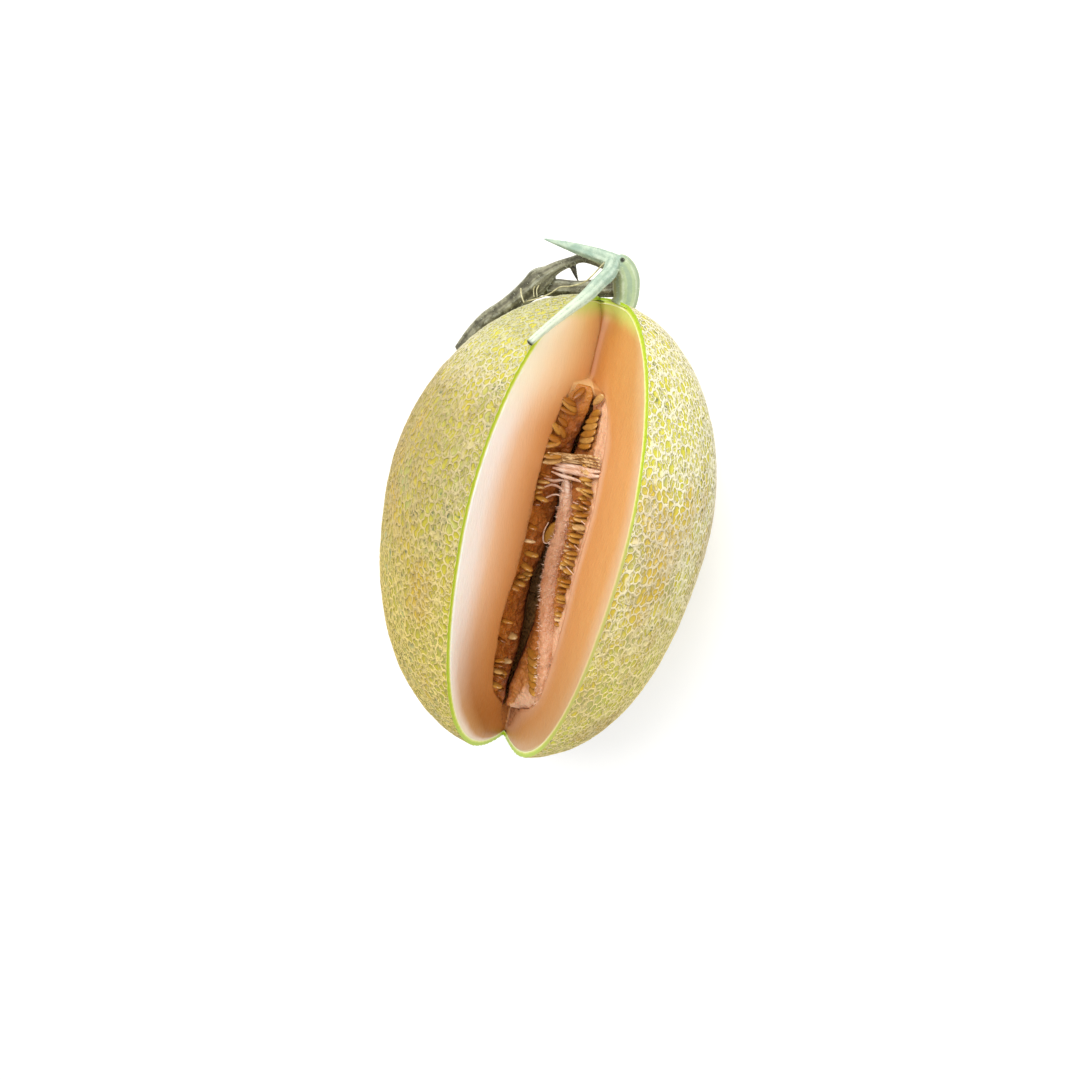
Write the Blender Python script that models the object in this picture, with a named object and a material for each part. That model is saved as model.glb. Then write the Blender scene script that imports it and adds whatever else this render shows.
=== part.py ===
"""Netted melon with a wedge cut out, lying on its back with the cut facing up.

The melon's long axis runs along Y, with the stem end at +Y. It rests on a small flat spot in
its skin, and the origin is on that spot, under the widest section. Everything is in metres.
"""

import math
import random

import bmesh
import bpy
import numpy as np
from mathutils import Vector

# Melon body. AXIS_HEIGHT follows from the radius and the depth of the flat spot.
MAX_RADIUS = 0.075
STEM_LENGTH = 0.0998
BLOSSOM_LENGTH = 0.124
STEM_FULLNESS = 1.93
BLOSSOM_FULLNESS = 2.28
BEND = 0.0042
BEND_REACH = 0.115
FLAT_DEPTH = 0.0011
AXIS_HEIGHT = MAX_RADIUS - FLAT_DEPTH
BODY_RINGS = 24
BODY_SIDES = 32

# Rind and its raised net. The cells are larger than life, so that the source stays small.
RIND_THICKNESS = 0.0025
PIECE_GAP = 0.0003
NET_HEIGHT = 0.0012
NET_CELLS = 500
NET_STRETCH = 1.3
NET_SCATTER = 0.30
NET_RIDGE_SHARE = 0.21

# Wedge cut. Its two faces meet along a line that slopes down towards the stem end.
WEDGE_HALF_ANGLE = math.radians(22.66)
CUT_LINE_BLOSSOM = Vector((0.0058, -0.124, 0.0011))
CUT_LINE_STEM = Vector((0.0026, 0.100, -0.0223))
WEDGE_REACH = 0.130
KERF = 0.0010
# Each row is a place along the axis, then how far up the left and the right face the cut stops.
WEDGE_STOPS = (
    (-0.160, KERF, KERF),
    (0.058, KERF, KERF),
    (0.063, KERF, 0.0108),
    (0.083, 0.0020, 0.0133),
    (0.090, 0.0060, 0.0200),
    (0.095, 0.0130, 0.0270),
    (0.140, 0.0130, 0.0270),
)

# Seed cavity, as round sections. Each row is a place along the axis, the rim's height on the left
# and on the right cut face, measured through the melon's axis, and the section's radius.
CAVITY_SECTIONS = (
    (-0.104, 0.004, 0.008, 0.005),
    (-0.098, 0.012, 0.021, 0.013),
    (-0.088, 0.020, 0.029, 0.020),
    (-0.070, 0.0235, 0.033, 0.025),
    (-0.050, 0.0235, 0.033, 0.026),
    (-0.030, 0.0175, 0.031, 0.025),
    (-0.008, 0.0138, 0.0295, 0.024),
    (0.015, 0.0136, 0.028, 0.023),
    (0.032, 0.0118, 0.024, 0.020),
    (0.046, 0.0050, 0.0195, 0.016),
    (0.056, 0.0000, 0.0130, 0.010),
    (0.061, -0.0030, 0.0040, 0.005),
)
CAVITY_SIDES = 20

# Seed beds, seeds and the pulp ridge inside the cavity.
BED_RECESS = 0.0030
SLIT_HALF_WIDTH = 0.0009
BED_DEPTH = 0.060
SEED_LENGTH = 0.0105
SEED_WIDTH = 0.0046
SEED_THICKNESS = 0.0024
SEED_PITCH = 0.0066
SEED_ROW_STEP = 0.0072
SEED_STAND = 0.0015
RIDGE_RADIUS = 0.0044
RIDGE_STAND = 0.0016
# Each row is a place along the axis and how far the ridge lies to the right of the cut line.
RIDGE_COURSE = ((0.028, 0.0031), (0.016, 0.0036), (0.001, 0.0046), (-0.013, 0.0058), (-0.028, 0.0072),
                (-0.043, 0.0085), (-0.059, 0.0098), (-0.073, 0.0103))
RIDGE_BUMPS = 0.0005

# Stalk and vine. Each row is a point on the melon's axes, then the radius there.
STALK_RIB = 0.10
STALK_SEAT_DEPTH = 0.0010
STALK_SEAT_RADIUS = 0.0067
STALK = ((0.0098, 0.0978, -0.0088, 0.0056), (0.0101, 0.1030, -0.0092, 0.0053),
         (0.0085, 0.1095, -0.0090, 0.0050), (0.0045, 0.1140, -0.0084, 0.0048),
         (0.0010, 0.1155, -0.0080, 0.0040))
LEFT_ARM = ((0.0060, 0.1130, -0.0080, 0.0040), (-0.0050, 0.1153, -0.0085, 0.0032),
            (-0.0170, 0.1160, -0.0100, 0.0022), (-0.0310, 0.1164, -0.0120, 0.0006))
FRONT_ARM = ((0.0030, 0.1140, -0.0080, 0.0036), (-0.0035, 0.1065, 0.0050, 0.0033),
             (-0.0105, 0.0988, 0.0200, 0.0028), (-0.0175, 0.0908, 0.0332, 0.0024),
             (-0.0220, 0.0842, 0.0412, 0.0019))
UPPER_STRAND = ((0.0010, 0.1130, -0.0090, 0.0030), (-0.0115, 0.1125, -0.0150, 0.0021),
                (-0.0180, 0.1089, -0.0180, 0.0022), (-0.0234, 0.1050, -0.0180, 0.0028),
                (-0.0288, 0.0991, -0.0180, 0.0040))
LOWER_STRAND = ((0.0010, 0.1120, -0.0090, 0.0026), (-0.0035, 0.1090, -0.0140, 0.0023),
                (-0.0089, 0.1030, -0.0170, 0.0024), (-0.0176, 0.0982, -0.0215, 0.0026),
                (-0.0245, 0.0970, -0.0200, 0.0032), (-0.0288, 0.0991, -0.0180, 0.0038))
VINE = ((-0.0250, 0.1030, -0.0180, 0.0032), (-0.0288, 0.0991, -0.0180, 0.0050),
        (-0.0318, 0.0955, -0.0176, 0.0042), (-0.0360, 0.0905, -0.0185, 0.0041),
        (-0.0414, 0.0834, -0.0230, 0.0042), (-0.0492, 0.0750, -0.0270, 0.0042),
        (-0.0550, 0.0655, -0.0320, 0.0040), (-0.0605, 0.0550, -0.0350, 0.0034))
DRY_SPIKE = ((-0.0172, 0.1092, -0.0178, 0.0014), (-0.0155, 0.1025, -0.0180, 0.0004))
VINE_SIDES = 8
STALK_SIDES = 10

RANDOM_SEED = 7


def clear_scene():
    """Remove every object that the file opened with."""
    for item in list(bpy.data.objects):
        bpy.data.objects.remove(item, do_unlink=True)


def make_material(name, colour, roughness):
    """Return a Principled material in one colour."""
    material = bpy.data.materials.new(name)
    material.use_nodes = True
    shader = material.node_tree.nodes["Principled BSDF"]
    shader.inputs["Base Color"].default_value = (*colour, 1.0)
    shader.inputs["Roughness"].default_value = roughness
    shader.inputs["Metallic"].default_value = 0.0
    return material


def object_from(name, mesh_data, material=None):
    """Make an object from a bmesh, with triangles that face outwards."""
    bmesh.ops.triangulate(mesh_data, faces=mesh_data.faces[:])
    bmesh.ops.recalc_face_normals(mesh_data, faces=mesh_data.faces[:])
    mesh = bpy.data.meshes.new(name)
    mesh_data.to_mesh(mesh)
    mesh_data.free()
    item = bpy.data.objects.new(name, mesh)
    bpy.context.scene.collection.objects.link(item)
    if material is not None:
        mesh.materials.append(material)
    return item


def apply_modifiers(item):
    """Replace an object's mesh by the one that its modifiers give."""
    graph = bpy.context.evaluated_depsgraph_get()
    mesh = bpy.data.meshes.new_from_object(item.evaluated_get(graph))
    item.modifiers.clear()
    item.data = mesh


def boolean(item, cutter, operation):
    """Apply one exact Boolean to an object, then remove the other object."""
    cutter.hide_render = True
    cutter.display_type = "WIRE"
    modifier = item.modifiers.new(operation.title(), "BOOLEAN")
    modifier.operation = operation
    modifier.solver = "EXACT"
    modifier.object = cutter
    apply_modifiers(item)
    bpy.data.objects.remove(cutter, do_unlink=True)


def union_all(item, others):
    """Join an object with a list of others in one exact Boolean union."""
    group = bpy.data.collections.new(item.name + "_repeats")
    bpy.context.scene.collection.children.link(group)
    for other in others:
        bpy.context.scene.collection.objects.unlink(other)
        group.objects.link(other)
    modifier = item.modifiers.new("Union", "BOOLEAN")
    modifier.operation = "UNION"
    modifier.solver = "EXACT"
    modifier.operand_type = "COLLECTION"
    modifier.collection = group
    apply_modifiers(item)
    for other in others:
        bpy.data.objects.remove(other, do_unlink=True)
    bpy.data.collections.remove(group)


def keep_largest_body(item):
    """Drop the loose scraps that a cut left beside the main body."""
    data = bmesh.new()
    data.from_mesh(item.data)
    bodies = []
    unseen = set(data.verts)
    while unseen:
        front = [unseen.pop()]
        body = set(front)
        while front:
            corner = front.pop()
            for edge in corner.link_edges:
                other = edge.other_vert(corner)
                if other in unseen:
                    unseen.remove(other)
                    body.add(other)
                    front.append(other)
        bodies.append(body)
    bodies.sort(key=len)
    scraps = [corner for body in bodies[:-1] for corner in body]
    bmesh.ops.delete(data, geom=scraps, context="VERTS")
    data.to_mesh(item.data)
    data.free()


def half_shape(along):
    """Return the length and fullness of the half of the melon that a place lies in."""
    if along > 0.0:
        return STEM_LENGTH, STEM_FULLNESS
    return BLOSSOM_LENGTH, BLOSSOM_FULLNESS


def on_skin(place, outward):
    """Slide a place out along its ray to the skin, then along the skin's normal.

    The place is given before the melon's bend is added.
    """
    length, fullness = half_shape(place.y)
    across = math.hypot(place.x, place.z)
    reach = (abs(place.y / length) ** fullness + (across / MAX_RADIUS) ** fullness) ** (1.0 / fullness)
    along = place.y / reach
    radius = across / reach
    normal_along = math.copysign(abs(along) ** (fullness - 1.0) / length ** fullness, along)
    normal_across = radius ** (fullness - 1.0) / MAX_RADIUS ** fullness
    size = math.hypot(normal_along, normal_across)
    along += outward * normal_along / size
    radius += outward * normal_across / size
    turn = math.atan2(place.z, place.x)
    bend = BEND * (along / BEND_REACH) ** 2
    return Vector((radius * math.cos(turn) + bend, along, radius * math.sin(turn) + AXIS_HEIGHT))


def from_axes(row):
    """Return a point that is given on the melon's axes, raised to where the melon lies."""
    return Vector((row[0], row[1], row[2] + AXIS_HEIGHT))


def close_rings(data, rings):
    """Skin a list of vertex rings, each with the same count, and cap both ends."""
    for lower, upper in zip(rings, rings[1:]):
        count = len(lower)
        for step in range(count):
            after = (step + 1) % count
            data.faces.new((lower[step], lower[after], upper[after], upper[step]))
    data.faces.new(rings[0][::-1])
    data.faces.new(rings[-1])


def smooth_body(name, inset, material=None):
    """Make a smooth closed body of the melon's form, inset from the skin."""
    data = bmesh.new()
    poles = []
    rings = []
    for ring in range(BODY_RINGS + 1):
        tilt = math.pi * (ring / BODY_RINGS - 0.5)
        length, fullness = half_shape(math.sin(tilt))
        along = length * math.sin(tilt)
        radius = MAX_RADIUS * max(1.0 - abs(math.sin(tilt)) ** fullness, 0.0) ** (1.0 / fullness)
        if ring in (0, BODY_RINGS):
            poles.append(data.verts.new(on_skin(Vector((1e-9, along, 0.0)), -inset)))
            continue
        corners = []
        for side in range(BODY_SIDES):
            turn = 2.0 * math.pi * side / BODY_SIDES
            place = Vector((radius * math.cos(turn), along, radius * math.sin(turn)))
            corners.append(data.verts.new(on_skin(place, -inset)))
        rings.append(corners)
    for lower, upper in zip(rings, rings[1:]):
        for side in range(BODY_SIDES):
            after = (side + 1) % BODY_SIDES
            data.faces.new((lower[side], lower[after], upper[after], upper[side]))
    for pole, ring in ((poles[0], rings[0]), (poles[1], rings[-1])):
        for side in range(BODY_SIDES):
            data.faces.new((pole, ring[side], ring[(side + 1) % BODY_SIDES]))
    return object_from(name, data, material)


def cell_centres():
    """Scatter the net's cells evenly over the melon, shortened by the cells' stretch."""
    dice = random.Random(RANDOM_SEED)
    tilts = np.linspace(-math.pi / 2.0, math.pi / 2.0, 801)
    along = np.sin(tilts)
    length = np.where(along > 0.0, STEM_LENGTH, BLOSSOM_LENGTH)
    fullness = np.where(along > 0.0, STEM_FULLNESS, BLOSSOM_FULLNESS)
    radius = MAX_RADIUS * np.maximum(1.0 - np.abs(along) ** fullness, 0.0) ** (1.0 / fullness)
    along = along * length / NET_STRETCH
    strip = np.hypot(np.diff(along), np.diff(radius)) * (radius[1:] + radius[:-1])
    covered = np.concatenate(([0.0], np.cumsum(strip)))
    golden = math.pi * (3.0 - math.sqrt(5.0))
    centres = []
    for cell in range(NET_CELLS):
        share = covered[-1] * (cell + 0.5 + dice.uniform(-NET_SCATTER, NET_SCATTER)) / NET_CELLS
        place = float(np.interp(share, covered, along))
        reach = float(np.interp(place, along, radius))
        pitch = math.sqrt(covered[-1] * math.pi / NET_CELLS)
        turn = golden * cell + dice.uniform(-NET_SCATTER, NET_SCATTER) * pitch / max(reach, pitch)
        centres.append(Vector((reach * math.cos(turn), place, reach * math.sin(turn))))
    return centres


def stretched(place):
    """Lengthen a place on the shortened melon back to the melon's own length."""
    return Vector((place.x, place.y * NET_STRETCH, place.z))


def netted_body(name, material):
    """Make a closed body whose skin is covered by sunken cells between raised net lines."""
    hull = bmesh.new()
    for centre in cell_centres():
        hull.verts.new(centre)
    bmesh.ops.convex_hull(hull, input=hull.verts[:])
    hull.verts.index_update()
    hull.faces.index_update()
    data = bmesh.new()
    middles = {face.index: face.calc_center_median() for face in hull.faces}
    crests = {index: data.verts.new(on_skin(stretched(middle), NET_HEIGHT))
              for index, middle in middles.items()}
    for centre in hull.verts:
        side = centre.co.normalized().orthogonal().normalized()
        other = centre.co.normalized().cross(side)
        around = sorted(centre.link_faces, key=lambda face: math.atan2(
            (middles[face.index] - centre.co).dot(other), (middles[face.index] - centre.co).dot(side)))
        floor = []
        for face in around:
            place = middles[face.index].lerp(centre.co, NET_RIDGE_SHARE)
            floor.append(data.verts.new(on_skin(stretched(place), 0.0)))
        data.faces.new(floor)
        count = len(around)
        for step in range(count):
            after = (step + 1) % count
            data.faces.new((crests[around[step].index], crests[around[after].index],
                            floor[after], floor[step]))
    hull.free()
    return object_from(name, data, material)


def cut_line(along):
    """Return the point of the line where the two cut faces meet, at a place along the axis."""
    share = (along - CUT_LINE_BLOSSOM.y) / (CUT_LINE_STEM.y - CUT_LINE_BLOSSOM.y)
    point = CUT_LINE_BLOSSOM.lerp(CUT_LINE_STEM, share)
    return Vector((point.x, along, point.z + AXIS_HEIGHT))


def face_direction(side):
    """Return the way up along a cut face: side is -1 for the left face and 1 for the right."""
    return Vector((side * math.sin(WEDGE_HALF_ANGLE), 0.0, math.cos(WEDGE_HALF_ANGLE)))


def face_normal(side):
    """Return the direction from a cut face into the open wedge."""
    return Vector((-side * math.cos(WEDGE_HALF_ANGLE), 0.0, math.sin(WEDGE_HALF_ANGLE)))


def on_face(side, along, up, out=0.0):
    """Return a point up a cut face from the cut line, moved out of the face into the wedge."""
    return cut_line(along) + face_direction(side) * up + face_normal(side) * out


def loft(name, sections):
    """Make a closed solid through a list of point rings."""
    data = bmesh.new()
    close_rings(data, [[data.verts.new(point) for point in section] for section in sections])
    return object_from(name, data)


def wedge_solid(inset):
    """Make the wedge that is cut out, made smaller all round by an inset."""
    sections = []
    for along, left_stop, right_stop in WEDGE_STOPS:
        up = inset / math.sin(WEDGE_HALF_ANGLE)
        sections.append((on_face(-1, along, left_stop + up, inset),
                         on_face(1, along, right_stop + up, inset),
                         on_face(1, along, WEDGE_REACH, inset),
                         on_face(-1, along, WEDGE_REACH, inset)))
    return loft("wedge", sections)


def rim_point(side, along, height):
    """Return a point on a cut face whose height is measured through the melon's axis."""
    line = cut_line(along)
    direction = face_direction(side)
    own = direction.x * line.x + direction.z * (line.z - AXIS_HEIGHT)
    return on_face(side, along, height - own)


def cavity_section(along, left_height, right_height, radius):
    """Return the centre of the round section that meets both cut faces at their rims."""
    left = rim_point(-1, along, left_height)
    right = rim_point(1, along, right_height)
    middle = (left + right) / 2.0
    chord = right - left
    down = Vector((chord.z, 0.0, -chord.x)).normalized()
    reach = max(radius, chord.length / 2.0)
    return middle + down * math.sqrt(reach ** 2 - (chord.length / 2.0) ** 2), reach


def cavity_solid(inset):
    """Make the seed cavity, made smaller all round by an inset."""
    sections = []
    last = len(CAVITY_SECTIONS) - 1
    for index, row in enumerate(CAVITY_SECTIONS):
        centre, radius = cavity_section(*row)
        centre.y += inset if index == 0 else -inset if index == last else 0.0
        ring = []
        for side in range(CAVITY_SIDES):
            turn = 2.0 * math.pi * side / CAVITY_SIDES
            spoke = Vector((math.cos(turn), 0.0, math.sin(turn)))
            ring.append(centre + spoke * (radius - inset))
        sections.append(ring)
    return loft("cavity", sections)


def flesh_solid(name, gap, material=None):
    """Make the flesh, grown into the cut and the cavity by a gap."""
    flesh = smooth_body(name, RIND_THICKNESS + PIECE_GAP, material)
    boolean(flesh, cavity_solid(gap), "DIFFERENCE")
    boolean(flesh, wedge_solid(gap), "DIFFERENCE")
    return flesh


def floor_block():
    """Make the block below the resting surface that flattens the melon's underside."""
    data = bmesh.new()
    bmesh.ops.create_cube(data, size=1.0)
    depth = MAX_RADIUS
    bmesh.ops.scale(data, vec=(4.0 * MAX_RADIUS, 4.0 * MAX_RADIUS, depth), verts=data.verts[:])
    bmesh.ops.translate(data, vec=(0.0, 0.0, -depth / 2.0), verts=data.verts[:])
    return object_from("floor_block", data)


def seat_axis():
    """Return the stalk's seat on the skin and the skin's outward direction there."""
    foot = Vector(STALK[0][:3])
    foot.x -= BEND * (foot.y / BEND_REACH) ** 2
    seat = on_skin(foot, 0.0)
    return seat, (on_skin(foot, MAX_RADIUS / 10.0) - seat).normalized()


def seat_solid():
    """Make the shallow round seat that the stalk stands in."""
    seat, outward = seat_axis()
    data = bmesh.new()
    side = outward.orthogonal().normalized()
    other = outward.cross(side)
    rings = []
    for height in (-STALK_SEAT_DEPTH, MAX_RADIUS / 5.0):
        ring = []
        for step in range(2 * STALK_SIDES):
            turn = math.pi * step / STALK_SIDES
            spoke = side * math.cos(turn) + other * math.sin(turn)
            ring.append(data.verts.new(seat + outward * height + spoke * STALK_SEAT_RADIUS))
        rings.append(ring)
    close_rings(data, rings)
    return object_from("seat", data)


def make_rind(material):
    """Make the netted rind, hollow for the flesh, open at the wedge and flat where it rests."""
    rind = netted_body("rind", material)
    boolean(rind, smooth_body("hollow", RIND_THICKNESS), "DIFFERENCE")
    boolean(rind, wedge_solid(0.0), "DIFFERENCE")
    boolean(rind, floor_block(), "DIFFERENCE")
    boolean(rind, seat_solid(), "DIFFERENCE")
    keep_largest_body(rind)
    return rind


def smooth_course(rows, step_count):
    """Read a smooth curve with step_count points between each two rows of numbers."""
    table = np.array(rows)
    table = np.vstack((2.0 * table[0] - table[1], table, 2.0 * table[-1] - table[-2]))
    course = []
    for index in range(1, len(table) - 2):
        before, start, end, beyond = table[index - 1:index + 3]
        for step in range(step_count):
            share = step / step_count
            course.append(0.5 * (2.0 * start + (end - before) * share
                                 + (2.0 * before - 5.0 * start + 4.0 * end - beyond) * share ** 2
                                 + (3.0 * start - before - 3.0 * end + beyond) * share ** 3))
    course.append(table[-2])
    return course


def tube(name, centres, radii, sides, rib=0.0, first_axis=None, bumps=0.0):
    """Make a closed round bar along a list of centres, ribbed or bumpy where asked."""
    dice = random.Random(RANDOM_SEED)
    data = bmesh.new()
    rings = []
    spoke = None
    count = len(centres)
    for index in range(count):
        before = centres[max(index - 1, 0)]
        after = centres[min(index + 1, count - 1)]
        forward = (after - before).normalized()
        if index == 0 and first_axis is not None:
            forward = first_axis
        if spoke is None:
            spoke = forward.orthogonal()
        spoke = (spoke - forward * spoke.dot(forward)).normalized()
        other = forward.cross(spoke)
        ring = []
        for side in range(sides):
            turn = 2.0 * math.pi * side / sides
            radius = radii[index] * (1.0 + (rib if side % 2 else -rib)) + dice.uniform(-bumps, bumps)
            ring.append(data.verts.new(
                centres[index] + (spoke * math.cos(turn) + other * math.sin(turn)) * radius))
        rings.append(ring)
    close_rings(data, rings)
    return object_from(name, data)


def vine_bar(name, rows, step_count):
    """Make one round bar of vine through rows of points and radii."""
    course = smooth_course(rows, step_count)
    centres = [from_axes(row) for row in course]
    return tube(name, centres, [row[3] for row in course], VINE_SIDES)


def make_stem(material):
    """Make the stalk and the piece of vine that is left on it, as one body."""
    seat, outward = seat_axis()
    course = smooth_course(STALK, 2)
    centres = [from_axes(row) for row in course]
    centres[0] = seat + outward * (PIECE_GAP - STALK_SEAT_DEPTH)
    stem = tube("stem", centres, [row[3] for row in course], STALK_SIDES, STALK_RIB, outward)
    stem.data.materials.append(material)
    bars = [vine_bar("left_arm", LEFT_ARM, 2), vine_bar("front_arm", FRONT_ARM, 2),
            vine_bar("upper_strand", UPPER_STRAND, 2), vine_bar("lower_strand", LOWER_STRAND, 2),
            vine_bar("vine", VINE, 2), vine_bar("dry_spike", DRY_SPIKE, 1)]
    union_all(stem, bars)
    return stem


def ridge_solid(grown):
    """Make the bumpy ridge of pulp that lies along the right side of the slit."""
    course = smooth_course(RIDGE_COURSE, 3)
    centres = []
    radii = []
    last = len(course) - 1
    for index, (along, shift) in enumerate(course):
        up = (shift + RIDGE_STAND) / math.sin(WEDGE_HALF_ANGLE)
        line = cut_line(along)
        centres.append(Vector((line.x + shift, along, line.z + up * math.cos(WEDGE_HALF_ANGLE))))
        taper = min(1.0, 0.35 + 2.2 * min(index, last - index) / last)
        radii.append(RIDGE_RADIUS * taper + grown)
    return tube("placenta", centres, radii, 10, bumps=RIDGE_BUMPS)


def side_block(side):
    """Make the block that holds one side of the cavity: below a cut face and beside the slit."""
    sections = []
    for along in (-0.130, 0.080):
        line = cut_line(along)
        slit = line.x + side * SLIT_HALF_WIDTH
        far = side * MAX_RADIUS
        low = on_face(side, along, 0.0).z - BED_DEPTH
        start_up = BED_RECESS / math.tan(WEDGE_HALF_ANGLE)
        sections.append((on_face(side, along, WEDGE_REACH, -BED_RECESS),
                         Vector((slit, along, line.z - start_up)),
                         Vector((slit, along, low)),
                         Vector((far, along, low)),
                         Vector((far, along, line.z + WEDGE_REACH))))
    return loft("side_block", sections)


def one_seed(name, centre, long_axis, flat_axis):
    """Make one flattened, pointed seed."""
    data = bmesh.new()
    width_axis = long_axis.cross(flat_axis).normalized()
    flat_axis = width_axis.cross(long_axis).normalized()
    tips = [data.verts.new(centre + long_axis * (SEED_LENGTH * end)) for end in (-0.5, 0.5)]
    rings = []
    for place, share in ((-0.30, 0.80), (0.22, 1.0)):
        ring = []
        for step in range(6):
            turn = math.pi * step / 3.0
            ring.append(data.verts.new(centre + long_axis * (SEED_LENGTH * place)
                                       + width_axis * (SEED_WIDTH * share * math.cos(turn) / 2.0)
                                       + flat_axis * (SEED_THICKNESS * share * math.sin(turn) / 2.0)))
        rings.append(ring)
    for step in range(6):
        after = (step + 1) % 6
        data.faces.new((rings[0][step], rings[0][after], rings[1][after], rings[1][step]))
        data.faces.new((tips[0], rings[0][after], rings[0][step]))
        data.faces.new((tips[1], rings[1][step], rings[1][after]))
    return object_from(name, data)


def seed_places(side):
    """List where the seeds of one side stand: along the axis and up the cut face."""
    table = np.array(CAVITY_SECTIONS)
    course = np.array(RIDGE_COURSE)[::-1]
    places = []
    row = 0
    along = CAVITY_SECTIONS[1][0] + SEED_PITCH / 2.0
    while along < CAVITY_SECTIONS[-2][0]:
        line = cut_line(along)
        direction = face_direction(side)
        own = direction.x * line.x + direction.z * (line.z - AXIS_HEIGHT)
        rim = float(np.interp(along, table[:, 0], table[:, 1 if side < 0 else 2])) - own
        lowest = 0.010
        if side > 0 and course[0, 0] - SEED_PITCH < along < course[-1, 0] + SEED_PITCH:
            shift = float(np.interp(along, course[:, 0], course[:, 1]))
            lowest = (shift + RIDGE_STAND) / math.sin(WEDGE_HALF_ANGLE) + RIDGE_RADIUS + 0.002
        up = rim - 0.0040 - (0.0022 if row % 2 else 0.0)
        while up > lowest:
            places.append((along, up))
            up -= SEED_ROW_STEP
        row += 1
        along += SEED_PITCH
    return places


def make_seed_bed(name, side, material):
    """Make one side's bed of brown pulp with its seeds standing in it, as one body."""
    dice = random.Random(RANDOM_SEED + side)
    bed = cavity_solid(PIECE_GAP + 0.0001)
    bed.name = name
    bed.data.materials.append(material)
    boolean(bed, side_block(side), "INTERSECT")
    keep_largest_body(bed)
    seeds = []
    for index, (along, up) in enumerate(seed_places(side)):
        centre = on_face(side, along, up, SEED_STAND - BED_RECESS)
        lean = math.radians(dice.uniform(8.0, 34.0))
        skew = math.radians(dice.uniform(-12.0, 12.0))
        long_axis = face_normal(side) * math.cos(lean) + face_direction(side) * math.sin(lean)
        long_axis = (long_axis * math.cos(skew) + Vector((0.0, math.sin(skew), 0.0))).normalized()
        flat_axis = Vector((0.0, 1.0, 0.0)) + face_direction(side) * dice.uniform(-0.35, 0.35)
        seeds.append(one_seed(f"seed_{index}", centre, long_axis, flat_axis))
    union_all(bed, seeds)
    boolean(bed, flesh_solid("near_flesh", PIECE_GAP), "DIFFERENCE")
    boolean(bed, ridge_solid(PIECE_GAP), "DIFFERENCE")
    keep_largest_body(bed)
    return bed


def make_placenta(material):
    """Make the pale ridge of pulp, clear of the flesh beside it."""
    ridge = ridge_solid(0.0)
    ridge.data.materials.append(material)
    boolean(ridge, flesh_solid("near_flesh", PIECE_GAP), "DIFFERENCE")
    keep_largest_body(ridge)
    return ridge


def main():
    """Build the melon."""
    clear_scene()
    make_rind(make_material("rind_green", (0.52, 0.52, 0.19), 0.65))
    flesh_solid("flesh", 0.0, make_material("flesh_orange", (0.86, 0.42, 0.17), 0.45))
    make_placenta(make_material("placenta_pink", (0.82, 0.50, 0.38), 0.40))
    seed_brown = make_material("seed_brown", (0.42, 0.19, 0.055), 0.35)
    make_seed_bed("seeds_left", -1, seed_brown)
    make_seed_bed("seeds_right", 1, seed_brown)
    make_stem(make_material("stem_green", (0.44, 0.52, 0.40), 0.70))


main()
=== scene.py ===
"""Looks of a netted melon with a wedge cut out, lying on its back with the cut facing up.

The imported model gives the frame. Everything is in metres, +Y towards the stem end and +Z up,
out through the open wedge.
"""

import logging
import math
from collections.abc import Sequence
from dataclasses import dataclass
from enum import Enum

import bmesh
import bpy
import numpy as np
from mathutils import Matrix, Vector, geometry, kdtree, noise


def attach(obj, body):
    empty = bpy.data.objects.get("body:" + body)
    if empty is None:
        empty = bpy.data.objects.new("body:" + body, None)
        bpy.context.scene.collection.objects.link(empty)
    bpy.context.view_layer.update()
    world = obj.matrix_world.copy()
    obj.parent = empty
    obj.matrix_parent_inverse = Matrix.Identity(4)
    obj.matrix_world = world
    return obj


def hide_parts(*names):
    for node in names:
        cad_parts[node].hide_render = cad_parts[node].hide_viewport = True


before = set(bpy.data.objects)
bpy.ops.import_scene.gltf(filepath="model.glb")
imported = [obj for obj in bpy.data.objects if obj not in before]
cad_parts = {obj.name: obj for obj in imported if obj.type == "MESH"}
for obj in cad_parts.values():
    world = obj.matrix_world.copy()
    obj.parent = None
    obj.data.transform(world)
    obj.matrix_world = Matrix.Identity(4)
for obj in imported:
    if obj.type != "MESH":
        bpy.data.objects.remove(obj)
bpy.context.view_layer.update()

BODY = "root"
MILLIMETRE = 0.001
LOG = logging.getLogger("melon")

Array = np.ndarray
BMesh = bmesh.types.BMesh
Item = bpy.types.Object
Material = bpy.types.Material
Mesh = bpy.types.Mesh
Node = bpy.types.Node
NodeTree = bpy.types.NodeTree
Socket = bpy.types.NodeSocket
Triple = tuple[float, float, float]
Row = tuple[float, float, float, float]
Stops = tuple[tuple[float, Triple], ...]
Waves = tuple[tuple[float, float, int], ...]


class Side(Enum):
    """The two cut faces, as seen by someone who looks along +Y."""

    LEFT = -1
    RIGHT = 1


# Form of the melon


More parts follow.
